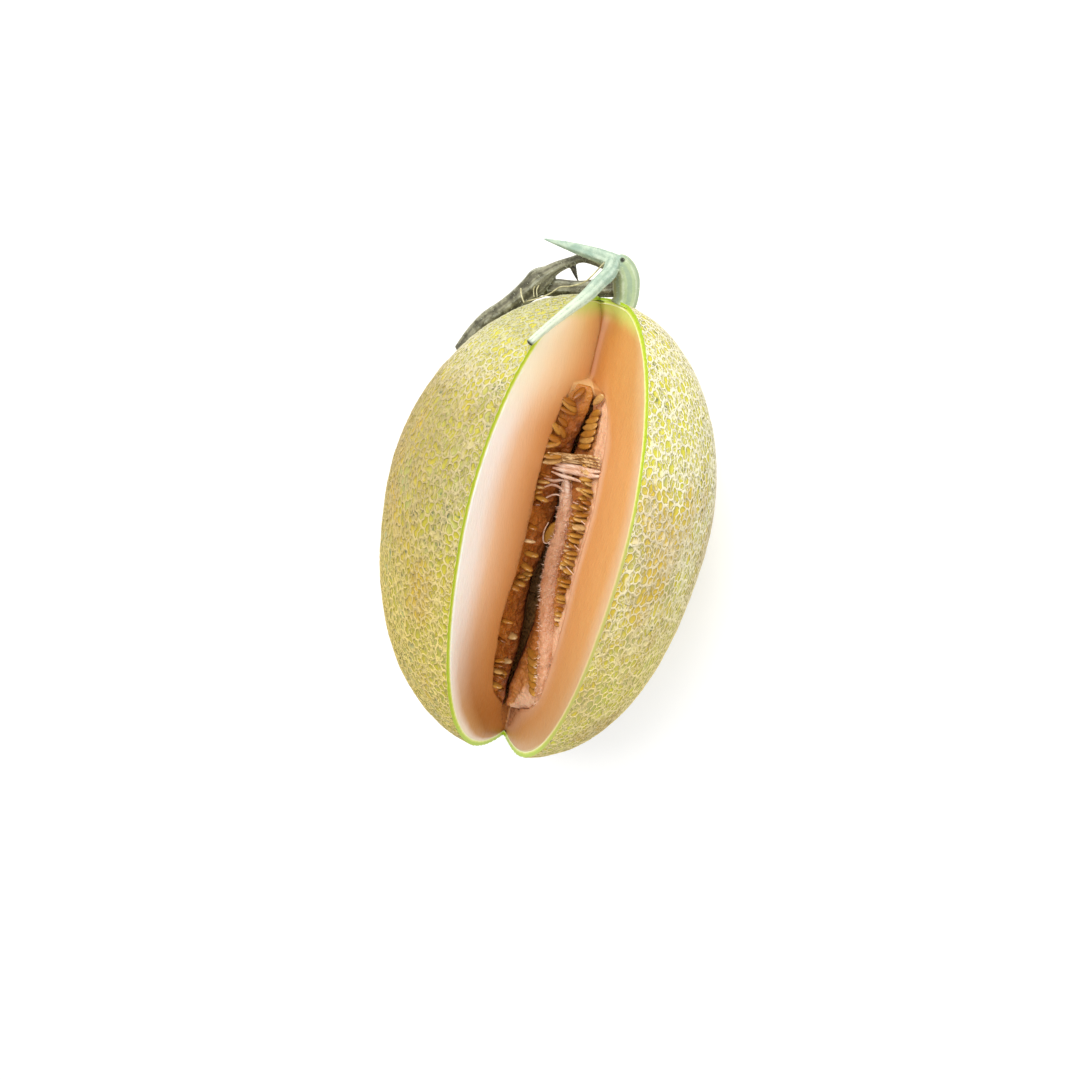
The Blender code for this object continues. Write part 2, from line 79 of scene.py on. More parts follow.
@dataclass(frozen=True)
class MelonForm:
    """The melon's smooth body: an egg of revolution whose axis bends a little to the right."""

    max_radius: float = 0.075
    stem_length: float = 0.0998
    blossom_length: float = 0.124
    stem_fullness: float = 1.93
    blossom_fullness: float = 2.28
    bend: float = 0.0042
    bend_reach: float = 0.115
    axis_height: float = 0.0739

    def halves(self, along: Array) -> tuple[Array, Array]:
        """Return the length and fullness of the half that each place lies in.

        Args:
            along: Places along the axis.

        Returns:
            The half lengths and the fullness exponents.
        """
        stem = along > 0.0
        return (np.where(stem, self.stem_length, self.blossom_length),
                np.where(stem, self.stem_fullness, self.blossom_fullness))

    def stations(self, count: int, margin: float = 0.0) -> Array:
        """Return places along the axis that lie closer together towards both ends.

        Args:
            count: Number of places.
            margin: Angle left out at both ends.

        Returns:
            The places, rising.
        """
        tilt = np.linspace(margin - 0.5 * math.pi, 0.5 * math.pi - margin, count)
        length, _ = self.halves(np.sin(tilt))
        return length * np.sin(tilt)

    def radius_at(self, along: Array) -> Array:
        """Return the skin's radius at places along the axis.

        Args:
            along: Places along the axis.

        Returns:
            One radius for each place.
        """
        length, fullness = self.halves(along)
        rest = np.maximum(1.0 - np.abs(along / length) ** fullness, 0.0)
        return self.max_radius * rest ** (1.0 / fullness)

    def bend_at(self, along: Array) -> Array:
        """Return how far the axis has moved to the right at places along it."""
        return self.bend * (along / self.bend_reach) ** 2

    def on_skin(self, places: Array, outward: float = 0.0) -> tuple[Array, Array]:
        """Slide places out along their rays to the skin, then along its normal.

        Args:
            places: Points about the straight axis, one row each.
            outward: Distance to move along the skin's normal.

        Returns:
            The points in the row frame, and the skin's normals there.
        """
        length, fullness = self.halves(places[:, 1])
        across = np.hypot(places[:, 0], places[:, 2])
        reach = (np.abs(places[:, 1] / length) ** fullness
                 + (across / self.max_radius) ** fullness) ** (1.0 / fullness)
        along = places[:, 1] / reach
        radius = across / reach
        slope_along = np.sign(along) * np.abs(along) ** (fullness - 1.0) / length ** fullness
        slope_across = radius ** (fullness - 1.0) / self.max_radius ** fullness
        size = np.hypot(slope_along, slope_across)
        slope_along = slope_along / size
        slope_across = slope_across / size
        turn = np.arctan2(places[:, 2], places[:, 0])
        along = along + outward * slope_along
        radius = radius + outward * slope_across
        points = np.stack((radius * np.cos(turn) + self.bend_at(along), along,
                           radius * np.sin(turn) + self.axis_height), axis=1)
        normals = np.stack((slope_across * np.cos(turn), slope_along,
                            slope_across * np.sin(turn)), axis=1)
        return points, normals

    def inset_profile(self, inset: float, count: int = 720) -> tuple[Array, Array]:
        """Return the profile of the skin moved inwards.

        Args:
            inset: Distance inwards along the skin's normal.
            count: Number of points read along the profile.

        Returns:
            Places along the axis, rising, and the radius at each.
        """
        along = self.stations(count)
        places = np.stack((self.radius_at(along) + 1e-7, along, np.zeros(count)), axis=1)
        points, _ = self.on_skin(places, -inset)
        radius = points[:, 0] - self.bend_at(points[:, 1])
        return points[:, 1], np.maximum(radius, 0.0)


@dataclass(frozen=True)
class WedgeCut:
    """The wedge: two faces that meet on a line sloping down towards the stem end."""

    form: MelonForm = MelonForm()
    half_angle: float = math.radians(22.66)
    line_blossom: Triple = (0.0058, -0.124, 0.0011)
    line_stem: Triple = (0.0026, 0.100, -0.0223)
    end_left: float = 0.0085
    end_right: float = 0.0235
    end_along: float = 0.095
    stops: tuple[Triple, ...] = (
        (-0.160, 0.0010, 0.0010),
        (0.058, 0.0010, 0.0010),
        (0.063, 0.0010, 0.0108),
        (0.083, 0.0014, 0.0133),
        (0.090, 0.0040, 0.0180),
        (0.095, 0.0085, 0.0235),
        (0.140, 0.0085, 0.0235),
    )

    def line_at(self, along: Array) -> Array:
        """Return points on the line where the two faces meet.

        Args:
            along: Places along the axis.

        Returns:
            One point for each place, in the row frame.
        """
        start = np.array(self.line_blossom)
        end = np.array(self.line_stem)
        share = (along - start[1]) / (end[1] - start[1])
        points = start + share[:, None] * (end - start)
        points[:, 2] += self.form.axis_height
        return points

    def up(self, side: Side) -> Array:
        """Return the direction up along a face."""
        return np.array((side.value * math.sin(self.half_angle), 0.0, math.cos(self.half_angle)))

    def out(self, side: Side) -> Array:
        """Return the direction from a face into the open wedge."""
        return np.array((-side.value * math.cos(self.half_angle), 0.0, math.sin(self.half_angle)))

    def on_face(self, side: Side, along: Array, up: Array,
                out: Array | float = 0.0) -> Array:
        """Return points on or off a cut face.

        Args:
            side: Which face.
            along: Places along the axis.
            up: Distances up the face from the cut line.
            out: Distances from the face into the wedge.

        Returns:
            The points in the row frame.
        """
        out = np.broadcast_to(out, np.shape(along))
        return self.line_at(along) + np.outer(up, self.up(side)) + np.outer(out, self.out(side))

    def inside(self, points: Array) -> Array:
        """Return how deep each point lies in the removed wedge, negative where it is kept.

        Args:
            points: One point a row.

        Returns:
            One depth for each point.
        """
        shift = points - self.line_at(points[:, 1])
        depth = np.minimum(shift @ self.out(Side.LEFT), shift @ self.out(Side.RIGHT))
        left, right = (self.on_face(side, points[:, 1], self.stop(side, points[:, 1]))
                       for side in Side)
        floor = right - left
        size = np.maximum(np.hypot(floor[:, 0], floor[:, 2]), 1e-9)
        over = ((points - left)[:, 2] * floor[:, 0] - (points - left)[:, 0] * floor[:, 2]) / size
        return np.minimum(depth, over)

    def stop(self, side: Side, along: Array) -> Array:
        """Return how far up a face the cut stops at places along the axis."""
        return read_rows(self.stops, along, 1 if side is Side.LEFT else 2)


@dataclass(frozen=True)
class SeedCavity:
    """The seed cavity: round sections that meet both cut faces at the rims."""

    wedge: WedgeCut = WedgeCut()
    soften: float = 0.0035
    waver: Waves = ((0.0011, 0.009, 31), (0.0006, 0.0032, 32))
    sections: tuple[Row, ...] = (
        (-0.104, 0.004, 0.008, 0.005),
        (-0.098, 0.012, 0.021, 0.013),
        (-0.088, 0.020, 0.029, 0.020),
        (-0.070, 0.0235, 0.033, 0.025),
        (-0.050, 0.0235, 0.033, 0.026),
        (-0.030, 0.0175, 0.031, 0.025),
        (-0.008, 0.0138, 0.0295, 0.024),
        (0.015, 0.0136, 0.028, 0.023),
        (0.032, 0.0118, 0.024, 0.020),
        (0.046, 0.0050, 0.0195, 0.016),
        (0.056, 0.0000, 0.0130, 0.010),
        (0.061, -0.0030, 0.0040, 0.005),
    )

    def start(self) -> float:
        """Return where the cavity begins, at the blossom end."""
        return self.sections[0][0]

    def end(self) -> float:
        """Return where the cavity ends, towards the stem."""
        return self.sections[-1][0]

    def column(self, along: Array, index: int) -> Array:
        """Return one column of the sections, read smoothly at places along the axis.

        Args:
            along: Places along the axis.
            index: Number of the column.

        Returns:
            One value for each place.
        """
        table = np.array(self.sections)
        fine = np.linspace(table[0, 0], table[-1, 0], 400)
        values = np.interp(fine, table[:, 0], table[:, index])
        step = fine[1] - fine[0]
        reach = int(3.0 * self.soften / step)
        weights = np.exp(-0.5 * (np.arange(-reach, reach + 1) * step / self.soften) ** 2)
        padded = np.pad(values, reach, mode="edge")
        smooth = np.convolve(padded, weights / weights.sum(), mode="valid")
        return np.interp(along, fine, smooth)

    def rim(self, side: Side, along: Array) -> Array:
        """Return how far up a face the cavity's rim lies.

        Args:
            side: Which face.
            along: Places along the axis.

        Returns:
            Distances up the face from the cut line.
        """
        line = self.wedge.line_at(along)
        line[:, 2] -= self.wedge.form.axis_height
        own = line @ self.wedge.up(side)
        row = np.stack((np.full(len(along), 0.03 * side.value), along, np.zeros(len(along))), axis=1)
        return self.column(along, 1 if side is Side.LEFT else 2) - own + waves(row, self.waver)

    def circle(self, along: Array) -> tuple[Array, Array]:
        """Return the centres and radii of the round sections at places along the axis.

        Args:
            along: Places along the axis.

        Returns:
            The centres and the radii.
        """
        left = self.wedge.on_face(Side.LEFT, along, self.rim(Side.LEFT, along))
        right = self.wedge.on_face(Side.RIGHT, along, self.rim(Side.RIGHT, along))
        chord = right - left
        half = 0.5 * np.linalg.norm(chord, axis=1)
        down = np.stack((chord[:, 2], np.zeros(len(chord)), -chord[:, 0]), axis=1)
        down /= np.maximum(np.linalg.norm(down, axis=1), 1e-9)[:, None]
        radius = np.maximum(self.column(along, 3), half)
        centre = 0.5 * (left + right) + down * np.sqrt(radius ** 2 - half ** 2)[:, None]
        return centre, radius


# Mesh tools


def read_rows(rows: Sequence[Sequence[float]], along: Array, column: int = 1) -> Array:
    """Read a column of rows that each begin with a place, at places along the axis."""
    table = np.array(rows)
    return np.interp(along, table[:, 0], table[:, column])


def wave(points: Array, pitch: float, seed: int = 0) -> Array:
    """Return smooth noise between about -1 and 1 at points.

    Args:
        points: One point a row.
        pitch: Size of the noise's swells.
        seed: Which stretch of noise to read.

    Returns:
        One number a point.
    """
    shift = Vector((seed * 7.31, seed * -3.17, seed * 5.53))
    return np.array([noise.noise(Vector(point) / pitch + shift) for point in points])


def waves(points: Array, layers: Waves) -> Array:
    """Return several waves added up, each given by its height, pitch and seed."""
    return sum(height * wave(points, pitch, seed) for height, pitch, seed in layers)


def add_item(name: str, data: bpy.types.ID) -> Item:
    """Put a new object into the scene.

    Args:
        name: Name of the object.
        data: Its mesh, light or camera.

    Returns:
        The object.
    """
    item = bpy.data.objects.new(name, data)
    bpy.context.scene.collection.objects.link(item)
    return item


def mesh_object(name: str, points: Array, faces: Sequence[Sequence[int]]) -> Item:
    """Make an object at the origin from points and faces, shaded smooth.

    Args:
        name: Name of the object.
        points: One point a row.
        faces: Corners of each face, as rows of points.

    Returns:
        The object.
    """
    mesh = bpy.data.meshes.new(name)
    mesh.from_pydata(points.tolist(), [], faces)
    mesh.update()
    mesh.shade_smooth()
    return add_item(name, mesh)


def join_items(name: str, parts: Sequence[Item]) -> Item:
    """Put several objects into one, in their order.

    Args:
        name: Name of the new object.
        parts: The objects, which are used up.

    Returns:
        The new object.
    """
    data = bmesh.new()
    for part in parts:
        data.from_mesh(part.data)
        bpy.data.objects.remove(part)
    mesh = bpy.data.meshes.new(name)
    data.to_mesh(mesh)
    data.free()
    return add_item(name, mesh)


def store(mesh: Mesh, name: str, values: Array, domain: str = "POINT") -> None:
    """Store one number, or one vector, for each point or face of a mesh.

    Args:
        mesh: The mesh.
        name: Name that the values are stored under.
        values: One number or vector for each point or face.
        domain: POINT or FACE.
    """
    values = np.asarray(values, dtype=np.float32)
    kind = "FLOAT" if values.ndim == 1 else "FLOAT_VECTOR"
    layer = mesh.attributes.new(name, kind, domain)
    layer.data.foreach_set("value" if values.ndim == 1 else "vector", values.ravel())


def places_of(mesh: Mesh) -> Array:
    """Return a mesh's points, one row each.

    Args:
        mesh: The mesh.

    Returns:
        The points.
    """
    places = np.zeros(len(mesh.vertices) * 3, dtype=np.float32)
    mesh.vertices.foreach_get("co", places)
    return places.reshape(-1, 3).astype(float)


def set_places(mesh: Mesh, places: Array) -> None:
    """Move a mesh's points."""
    mesh.vertices.foreach_set("co", places.astype(np.float32).ravel())
    mesh.update()


def loft(name: str, loops: Array) -> Item:
    """Skin closed loops into one closed body, with a fan at each end.

    Args:
        name: Name of the object.
        loops: Points as (loop, place in the loop, axis).

    Returns:
        The object. Its points are the loops in order, then the two end centres.
    """
    count, size, _ = loops.shape
    points = np.concatenate((loops.reshape(-1, 3), loops[0].mean(0)[None], loops[-1].mean(0)[None]))
    faces = []
    for row in range(count - 1):
        for step in range(size):
            after = (step + 1) % size
            faces.append((row * size + step, row * size + after,
                          (row + 1) * size + after, (row + 1) * size + step))
    first = count * size
    for step in range(size):
        after = (step + 1) % size
        faces.append((first, after, step))
        faces.append((first + 1, (count - 1) * size + step, (count - 1) * size + after))
    item = mesh_object(name, points, faces)
    face_outwards(item)
    return item


def face_outwards(item: Item) -> None:
    """Turn every face of a closed body outwards.

    Args:
        item: The closed body.
    """
    data = bmesh.new()
    data.from_mesh(item.data)
    bmesh.ops.recalc_face_normals(data, faces=data.faces[:])
    data.to_mesh(item.data)
    data.free()
    item.data.update()


def smooth_course(rows: Sequence[Sequence[float]], steps: int) -> Array:
    """Read a smooth curve through rows of numbers.

    Args:
        rows: The rows that the curve passes through.
        steps: Number of points between two rows.

    Returns:
        One row for each point of the curve.
    """
    table = np.array(rows)
    table = np.vstack((2.0 * table[0] - table[1], table, 2.0 * table[-1] - table[-2]))
    course = []
    for index in range(1, len(table) - 2):
        before, start, end, beyond = table[index - 1:index + 3]
        for share in np.arange(steps) / steps:
            course.append(0.5 * (2.0 * start + (end - before) * share
                                 + (2.0 * before - 5.0 * start + 4.0 * end - beyond) * share ** 2
                                 + (3.0 * start - before - 3.0 * end + beyond) * share ** 3))
    course.append(table[-2])
    return np.array(course)


def full_turn(count: int) -> Array:
    """Return angles spread evenly over one turn."""
    return 2.0 * math.pi * np.arange(count) / count


def arc(centre: Array, reach: Array | float, turns: Array) -> Array:
    """Return points about a centre, in the plane across the melon."""
    return np.stack((centre[0] + reach * np.cos(turns), np.full(len(turns), centre[1]),
                     centre[2] + reach * np.sin(turns)), axis=1)


def headings(course: Array) -> list[Vector]:
    """Return the direction of a course at each of its points.

    Args:
        course: One point a row, with its radius if it has one.

    Returns:
        One direction for each point.
    """
    ahead = np.concatenate((course[1:, :3], course[-1:, :3]))
    behind = np.concatenate((course[:1, :3], course[:-1, :3]))
    return [Vector(way).normalized() for way in ahead - behind]


def finish_piece(item: Item, nodes: Sequence[str]) -> None:
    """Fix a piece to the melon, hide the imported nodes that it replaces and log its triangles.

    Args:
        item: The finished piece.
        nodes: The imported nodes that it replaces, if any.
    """
    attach(item, BODY)
    if nodes:
        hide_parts(*nodes)
    triangles = sum(len(face.vertices) - 2 for face in item.data.polygons)
    LOG.info("%s: %d triangles", item.name, triangles)


# Node trees


def put(tree: NodeTree, socket: Socket, value: object) -> None:
    """Set an input to a value, or link another socket to it.

    Args:
        tree: The tree that the input is in.
        socket: The input.
        value: A value or another socket.
    """
    if isinstance(value, Socket):
        tree.links.new(value, socket)
    elif socket.type == "RGBA" and isinstance(value, tuple):
        socket.default_value = (*value[:3], 1.0)
    else:
        socket.default_value = value


class Tree:
    """A node tree that nodes are added to, with their properties and inputs."""

    tree: NodeTree

    def add(self, kind: str, settings: dict[str, object] | None = None,
            **sockets: object) -> Node:
        """Add a node.

        Args:
            kind: The node's type.
            settings: Properties of the node.
            sockets: Values or sockets for its inputs, by name with _ for a space.

        Returns:
            The node.
        """
        node = self.tree.nodes.new(kind)
        for label, value in (settings or {}).items():
            setattr(node, label, value)
        for label, value in sockets.items():
            self.connect(node, label.replace("_", " "), value)
        return node

    def connect(self, node: Node, label: str, value: object) -> None:
        """Set an input of a node to a value by its name, or link a socket to it."""
        socket = next(entry for entry in node.inputs if entry.name == label and entry.enabled)
        put(self.tree, socket, value)

    def math(self, operation: str, *values: object) -> Socket:
        """Return the result of one sum on up to three values.

        Args:
            operation: Name of the sum.
            values: Values or sockets, in order.

        Returns:
            The socket of the result.
        """
        node = self.add("ShaderNodeMath", {"operation": operation})
        for socket, value in zip(node.inputs, values):
            put(self.tree, socket, value)
        return node.outputs[0]

    def times(self, first: object, second: object) -> Socket:
        """Return one value times another."""
        return self.math("MULTIPLY", first, second)

    def plus(self, first: object, second: object) -> Socket:
        """Return one value plus another."""
        return self.math("ADD", first, second)


class GeometryTree(Tree):
    """A geometry node tree that is built in steps from its input to its output."""

    def __init__(self, name: str, inputs: Sequence[tuple[str, str]]) -> None:
        """Make the tree with its named inputs.

        Args:
            name: Name of the tree.
            inputs: Name and socket type of each input after the geometry.
        """
        self.tree = bpy.data.node_groups.new(name, "GeometryNodeTree")
        sockets = self.tree.interface
        sockets.new_socket("Geometry", in_out="INPUT", socket_type="NodeSocketGeometry")
        for label, kind in inputs:
            sockets.new_socket(label, in_out="INPUT", socket_type=kind)
        sockets.new_socket("Geometry", in_out="OUTPUT", socket_type="NodeSocketGeometry")
        self.source = self.tree.nodes.new("NodeGroupInput")
        self.sink = self.tree.nodes.new("NodeGroupOutput")

    def stored(self, mesh: Socket, name: str, value: object, kind: str = "FLOAT") -> Node:
        """Store a value on each point of a mesh, under a name."""
        return self.add("GeometryNodeStoreNamedAttribute", {"data_type": kind}, Geometry=mesh,
                        Name=name, Value=value)

    def read(self, name: str, kind: str = "FLOAT") -> Socket:
        """Return the values stored under a name."""
        return self.add("GeometryNodeInputNamedAttribute", {"data_type": kind},
                        Name=name).outputs[0]

    def end(self, mesh: Socket, finish: Socket) -> None:
        """Give a mesh its material and send it to the tree's output."""
        dressed = self.add("GeometryNodeSetMaterial", Geometry=mesh, Material=finish)
        put(self.tree, self.sink.inputs["Geometry"], dressed.outputs[0])

    def apply(self, item: Item, values: dict[str, object]) -> None:
        """Run the tree on an object and keep its plain mesh.

        Args:
            item: The object to change.
            values: Value of each named input.
        """
        modifier = item.modifiers.new(self.tree.name, "NODES")
        modifier.node_group = self.tree
        for socket in self.tree.interface.items_tree:
            if socket.in_out == "INPUT" and socket.name in values:
                modifier[socket.identifier] = values[socket.name]
        bake_modifiers(item)


def bake_modifiers(item: Item) -> None:
    """Replace an object's mesh by what its modifiers make of it.

    Args:
        item: The object.
    """
    graph = bpy.context.evaluated_depsgraph_get()
    graph.update()
    mesh = bpy.data.meshes.new_from_object(item.evaluated_get(graph), preserve_all_data_layers=True,
                                           depsgraph=graph)
    item.modifiers.clear()
    item.data = mesh


class Paint(Tree):
    """A node tree of shader nodes that makes colours, masks and heights."""

    def __init__(self, tree: NodeTree) -> None:
        """Wrap a tree."""
        self.tree = tree

    def value(self, name: str) -> Socket:
        """Return a stored number of the mesh."""
        return self.add("ShaderNodeAttribute", {"attribute_name": name}).outputs["Fac"]

    def place(self, stretch: Triple = (1.0, 1.0, 1.0)) -> Socket:
        """Return the object's own coordinates, scaled along each axis."""
        source = self.add("ShaderNodeTexCoord").outputs["Object"]
        return self.add("ShaderNodeMapping", Vector=source, Scale=stretch).outputs["Vector"]

    def axes(self) -> tuple[Socket, Socket, Socket]:
        """Return the object's own coordinates across, along and up, one socket each."""
        return tuple(self.add("ShaderNodeSeparateXYZ", Vector=self.place()).outputs)

    def noise(self, place: Socket, pitch: float, detail: float = 3.0,
              rough: float = 0.55) -> Socket:
        """Return noise between 0 and 1 with swells of a pitch in metres.

        Args:
            place: Coordinates.
            pitch: Size of the swells in metres.
            detail: How many finer layers are added.
            rough: How strong the finer layers are.

        Returns:
            The socket of the noise.
        """
        node = self.add("ShaderNodeTexNoise", Vector=place, Scale=1.0 / pitch, Detail=detail,
                        Roughness=rough)
        return node.outputs["Fac"]

    def remap(self, value: Socket, low: float, high: float, start: float = 0.0,
              end: float = 1.0) -> Socket:
        """Return a value moved smoothly from one range to another, held at the ends.

        Args:
            value: The value.
            low: Start of its range.
            high: End of its range.
            start: Result at the start.
            end: Result at the end.

        Returns:
            The socket of the result.
        """
        node = self.add("ShaderNodeMapRange", {"interpolation_type": "SMOOTHSTEP"}, Value=value,
                        From_Min=low, From_Max=high, To_Min=start, To_Max=end)
        return node.outputs["Result"]

    def sway(self, value: object, reach: float) -> Socket:
        """Return a value from 0 to 1 as one that swings about 0."""
        return self.times(self.math("SUBTRACT", value, 0.5), reach)

    def mix(self, share: object, first: object, second: object) -> Socket:
        """Return a mix of two colours, each a socket or three numbers.

        Args:
            share: Share of the second colour.
            first: First colour.
            second: Second colour.

        Returns:
            The socket of the mix.
        """
        node = self.add("ShaderNodeMix", {"data_type": "RGBA"})
        for index, value in ((0, share), (6, first), (7, second)):
            put(self.tree, node.inputs[index], value)
        return node.outputs[2]

    def ramp(self, value: Socket, stops: Stops) -> Socket:
        """Return a colour that runs through stops as a value goes from 0 to 1.

        Args:
            value: The value.
            stops: Place and colour of each stop.

        Returns:
            The socket of the colour.
        """
        node = self.add("ShaderNodeValToRGB", Fac=value)
        band = node.color_ramp
        while len(band.elements) < len(stops):
            band.elements.new(0.5)
        for element, (place, colour) in zip(band.elements, stops):
            element.position = place
            element.color = (*colour, 1.0)
        return node.outputs["Color"]


class Finish(Paint):
    """A material: a Principled shader with its colour, roughness and bump from nodes."""

    def __init__(self, name: str) -> None:
        """Make an empty material with its shader."""
        self.material = bpy.data.materials.new(name)
        self.material.use_nodes = True
        super().__init__(self.material.node_tree)
        self.shader = self.tree.nodes["Principled BSDF"]

    def set(self, label: str, value: object) -> None:
        """Set or link one input of the shader."""
        self.connect(self.shader, label, value)

    def bump(self, height: Socket, depth: float) -> None:
        """Give the surface a fine relief of a depth in metres."""
        node = self.add("ShaderNodeBump", Height=height, Distance=depth, Strength=1.0)
        self.set("Normal", node.outputs["Normal"])

    def group(self, tree: NodeTree, **sockets: object) -> Node:
        """Add a shared node group."""
        return self.add("ShaderNodeGroup", {"node_tree": tree}, **sockets)


def grain_group() -> NodeTree:
    """Build the shared effect of soft mottling with a fine grain over it.

    Returns:
        A group with the inputs Vector, Mottle Scale and Grain Scale and the outputs Mottle,
        Grain and Height.
    """
    tree = bpy.data.node_groups.new("natural_grain", "ShaderNodeTree")
    sockets = tree.interface
    sockets.new_socket("Vector", in_out="INPUT", socket_type="NodeSocketVector")
    for label in ("Mottle Scale", "Grain Scale"):
        sockets.new_socket(label, in_out="INPUT", socket_type="NodeSocketFloat")
    for label in ("Mottle", "Grain", "Height"):
        sockets.new_socket(label, in_out="OUTPUT", socket_type="NodeSocketFloat")
    paint = Paint(tree)
    source = tree.nodes.new("NodeGroupInput")
    sink = tree.nodes.new("NodeGroupOutput")
    mottle = paint.add("ShaderNodeTexNoise", Vector=source.outputs["Vector"],
                       Scale=source.outputs["Mottle Scale"], Detail=4.0, Roughness=0.6)
    grain = paint.add("ShaderNodeTexNoise", Vector=source.outputs["Vector"],
                      Scale=source.outputs["Grain Scale"], Detail=2.0, Roughness=0.5)
    height = paint.math("MULTIPLY_ADD", mottle.outputs["Fac"], 0.6, grain.outputs["Fac"])
    for label, socket in (("Mottle", mottle.outputs["Fac"]), ("Grain", grain.outputs["Fac"]),
                          ("Height", height)):
        tree.links.new(socket, sink.inputs[label])
    return tree


# Finishes


@dataclass(frozen=True)
class NetSkinFinish:
    """Yellow-green skin in the cells, pale cork on the net's lines, with painted shade along the foot
    of each line.
    """

    grain: NodeTree
    lime: Triple = (0.58, 0.54, 0.030)
    olive: Triple = (0.44, 0.38, 0.025)
    ochre: Triple = (0.60, 0.38, 0.030)
    sage: Triple = (0.34, 0.37, 0.13)
    deep: Triple = (0.07, 0.11, 0.07)
    cork: Triple = (0.47, 0.38, 0.16)
    cork_bright: Triple = (0.84, 0.80, 0.58)
    cork_yellow: Triple = (0.84, 0.66, 0.18)
    cork_dull: Triple = (0.50, 0.50, 0.28)
    cork_warm: Triple = (0.50, 0.35, 0.15)
    # Painted shade: dark olive laid along the foot of each net line, where the raised line shades the
    # cell floor.
    foot: Triple = (0.16, 0.14, 0.030)

    def build(self) -> Material:
        """Return the material.

        Returns:
            The material.
        """
        finish = Finish("net_skin")
        place = finish.place((1.0, 0.7, 1.0))
        across, along, _ = finish.axes()
        grain = finish.group(self.grain, Vector=place, Mottle_Scale=60.0, Grain_Scale=1400.0)
        bright = finish.math("MAXIMUM", finish.remap(across, -0.060, 0.040),
                             finish.remap(along, 0.040, 0.085))
        patches = finish.times(finish.remap(finish.noise(place, 0.050, 3.0, 0.6), 0.47, 0.63),
                               finish.remap(along, 0.035, 0.075, 0.85, 0.1))
        warm = finish.remap(finish.math("ABSOLUTE", across), 0.044, 0.060, 0.0, 0.75)
        for limits in ((-0.030, -0.005), (0.062, 0.035)):
            warm = finish.times(warm, finish.remap(along, *limits))
        warm = finish.times(warm, finish.remap(finish.noise(place, 0.018, 3.0, 0.6), 0.36, 0.58))
        patches = finish.math("MAXIMUM", patches, warm)
        shade = finish.plus(finish.times(finish.value("tint"), 0.22), grain.outputs["Mottle"])
        ground = finish.mix(bright, self.olive, self.lime)
        ground = finish.mix(patches, ground, self.ochre)
        ground = finish.mix(finish.remap(shade, 0.60, 0.86, 0.0, 0.7), ground, self.sage)
        specks = finish.plus(finish.noise(place, 0.0045, 3.0, 0.65),
                             finish.times(finish.noise(place, 0.030, 1.0), 0.5))
        ground = finish.mix(finish.remap(specks, 0.86, 0.95, 0.0, 0.8), ground, self.deep)
        cork = finish.mix(bright, self.cork, self.cork_bright)
        cork = finish.mix(finish.remap(along, 0.030, -0.060, 0.0, 0.7), cork, self.cork_yellow)
        end = finish.times(finish.remap(along, 0.055, 0.088), finish.remap(across, 0.012, -0.012))
        cork = finish.mix(finish.times(end, 0.85), cork, self.cork_dull)
        cork = finish.mix(finish.remap(patches, 0.0, 1.0, 0.0, 0.5), cork, self.cork_warm)
        cork = finish.mix(finish.remap(grain.outputs["Grain"], 0.3, 0.6, 0.35, 0.0), cork,
                          self.cork_warm)
        edge = finish.plus(finish.value("net"), finish.sway(finish.noise(place, 0.0009, 2.0), 0.7))
        # Paint the shade at the foot of each net line onto the cell floor.
        ground = finish.mix(finish.remap(edge, 0.02, 0.30, 0.0, 0.7), ground, self.foot)
        lines = finish.math("MAXIMUM", self.threads(finish, finish.place((1.0, 0.55, 1.0)), 0.0026),
                            self.threads(finish, finish.place((1.0, 0.4, 1.0)), 0.0014))
        ground = finish.mix(finish.times(lines, 0.75), ground, cork)
        cover = finish.remap(edge, 0.36, 0.70)
        finish.set("Base Color", finish.mix(cover, ground, cork))
        finish.set("Roughness", finish.remap(cover, 0.0, 1.0, 0.45, 0.8))
        finish.bump(finish.math("MULTIPLY_ADD", grain.outputs["Grain"], 0.4, lines), 0.00035)
        return finish.material

    @staticmethod
    def threads(finish: Finish, place: Socket, pitch: float) -> Socket:
        """Return a mask of fine broken threads of cork, finer than the raised net.

        Args:
            finish: The material that the nodes go into.
            place: Coordinates.
            pitch: Size of the threads' cells in metres.

        Returns:
            The socket of the mask.
        """
        wander = finish.add("ShaderNodeTexNoise", Vector=place, Scale=0.5 / pitch, Detail=1.0)
        moved = finish.add("ShaderNodeVectorMath", {"operation": "MULTIPLY_ADD"})
        for socket, value in zip(moved.inputs, (wander.outputs["Color"], (pitch,) * 3, place)):
            put(finish.tree, socket, value)
        cells = finish.add("ShaderNodeTexVoronoi", {"feature": "DISTANCE_TO_EDGE"},
                           Vector=moved.outputs[0], Scale=1.0 / pitch, Randomness=1.0)
        return finish.times(finish.remap(cells.outputs["Distance"], 0.05, 0.15, 1.0, 0.0),
                            finish.remap(finish.noise(place, 0.0045, 1.0), 0.44, 0.54))


@dataclass(frozen=True)
class RindEdgeFinish:
    """The cut edge of the rind: bright lime outside, fading to cream at the flesh."""

    lime: Triple = (0.42, 0.60, 0.02)
    yellow: Triple = (0.66, 0.76, 0.12)
    cream: Triple = (0.93, 0.92, 0.62)
    dull: Triple = (0.50, 0.50, 0.17)
    tan: Triple = (0.80, 0.58, 0.32)

    def build(self) -> Material:
        """Return the material.

        Returns:
            The material.
        """
        finish = Finish("rind_cut_edge")
        depth = finish.plus(finish.value("depth"),
                            finish.sway(finish.noise(finish.place(), 0.004), 0.25))
        colour = finish.ramp(depth, (
            (0.0, self.lime), (0.45, self.lime), (0.72, self.yellow), (1.0, self.cream)))
        worn = finish.ramp(depth, ((0.0, self.dull), (0.5, self.dull), (1.0, self.tan)))
        across, along, _ = finish.axes()
        share = finish.times(finish.remap(across, 0.020, 0.034),
                             finish.remap(along, 0.050, 0.000, 0.0, 0.85))
        finish.set("Base Color", finish.mix(share, colour, worn))
        finish.set("Roughness", 0.4)
        finish.bump(finish.noise(finish.place(), 0.0008), 0.0001)
        return finish.material


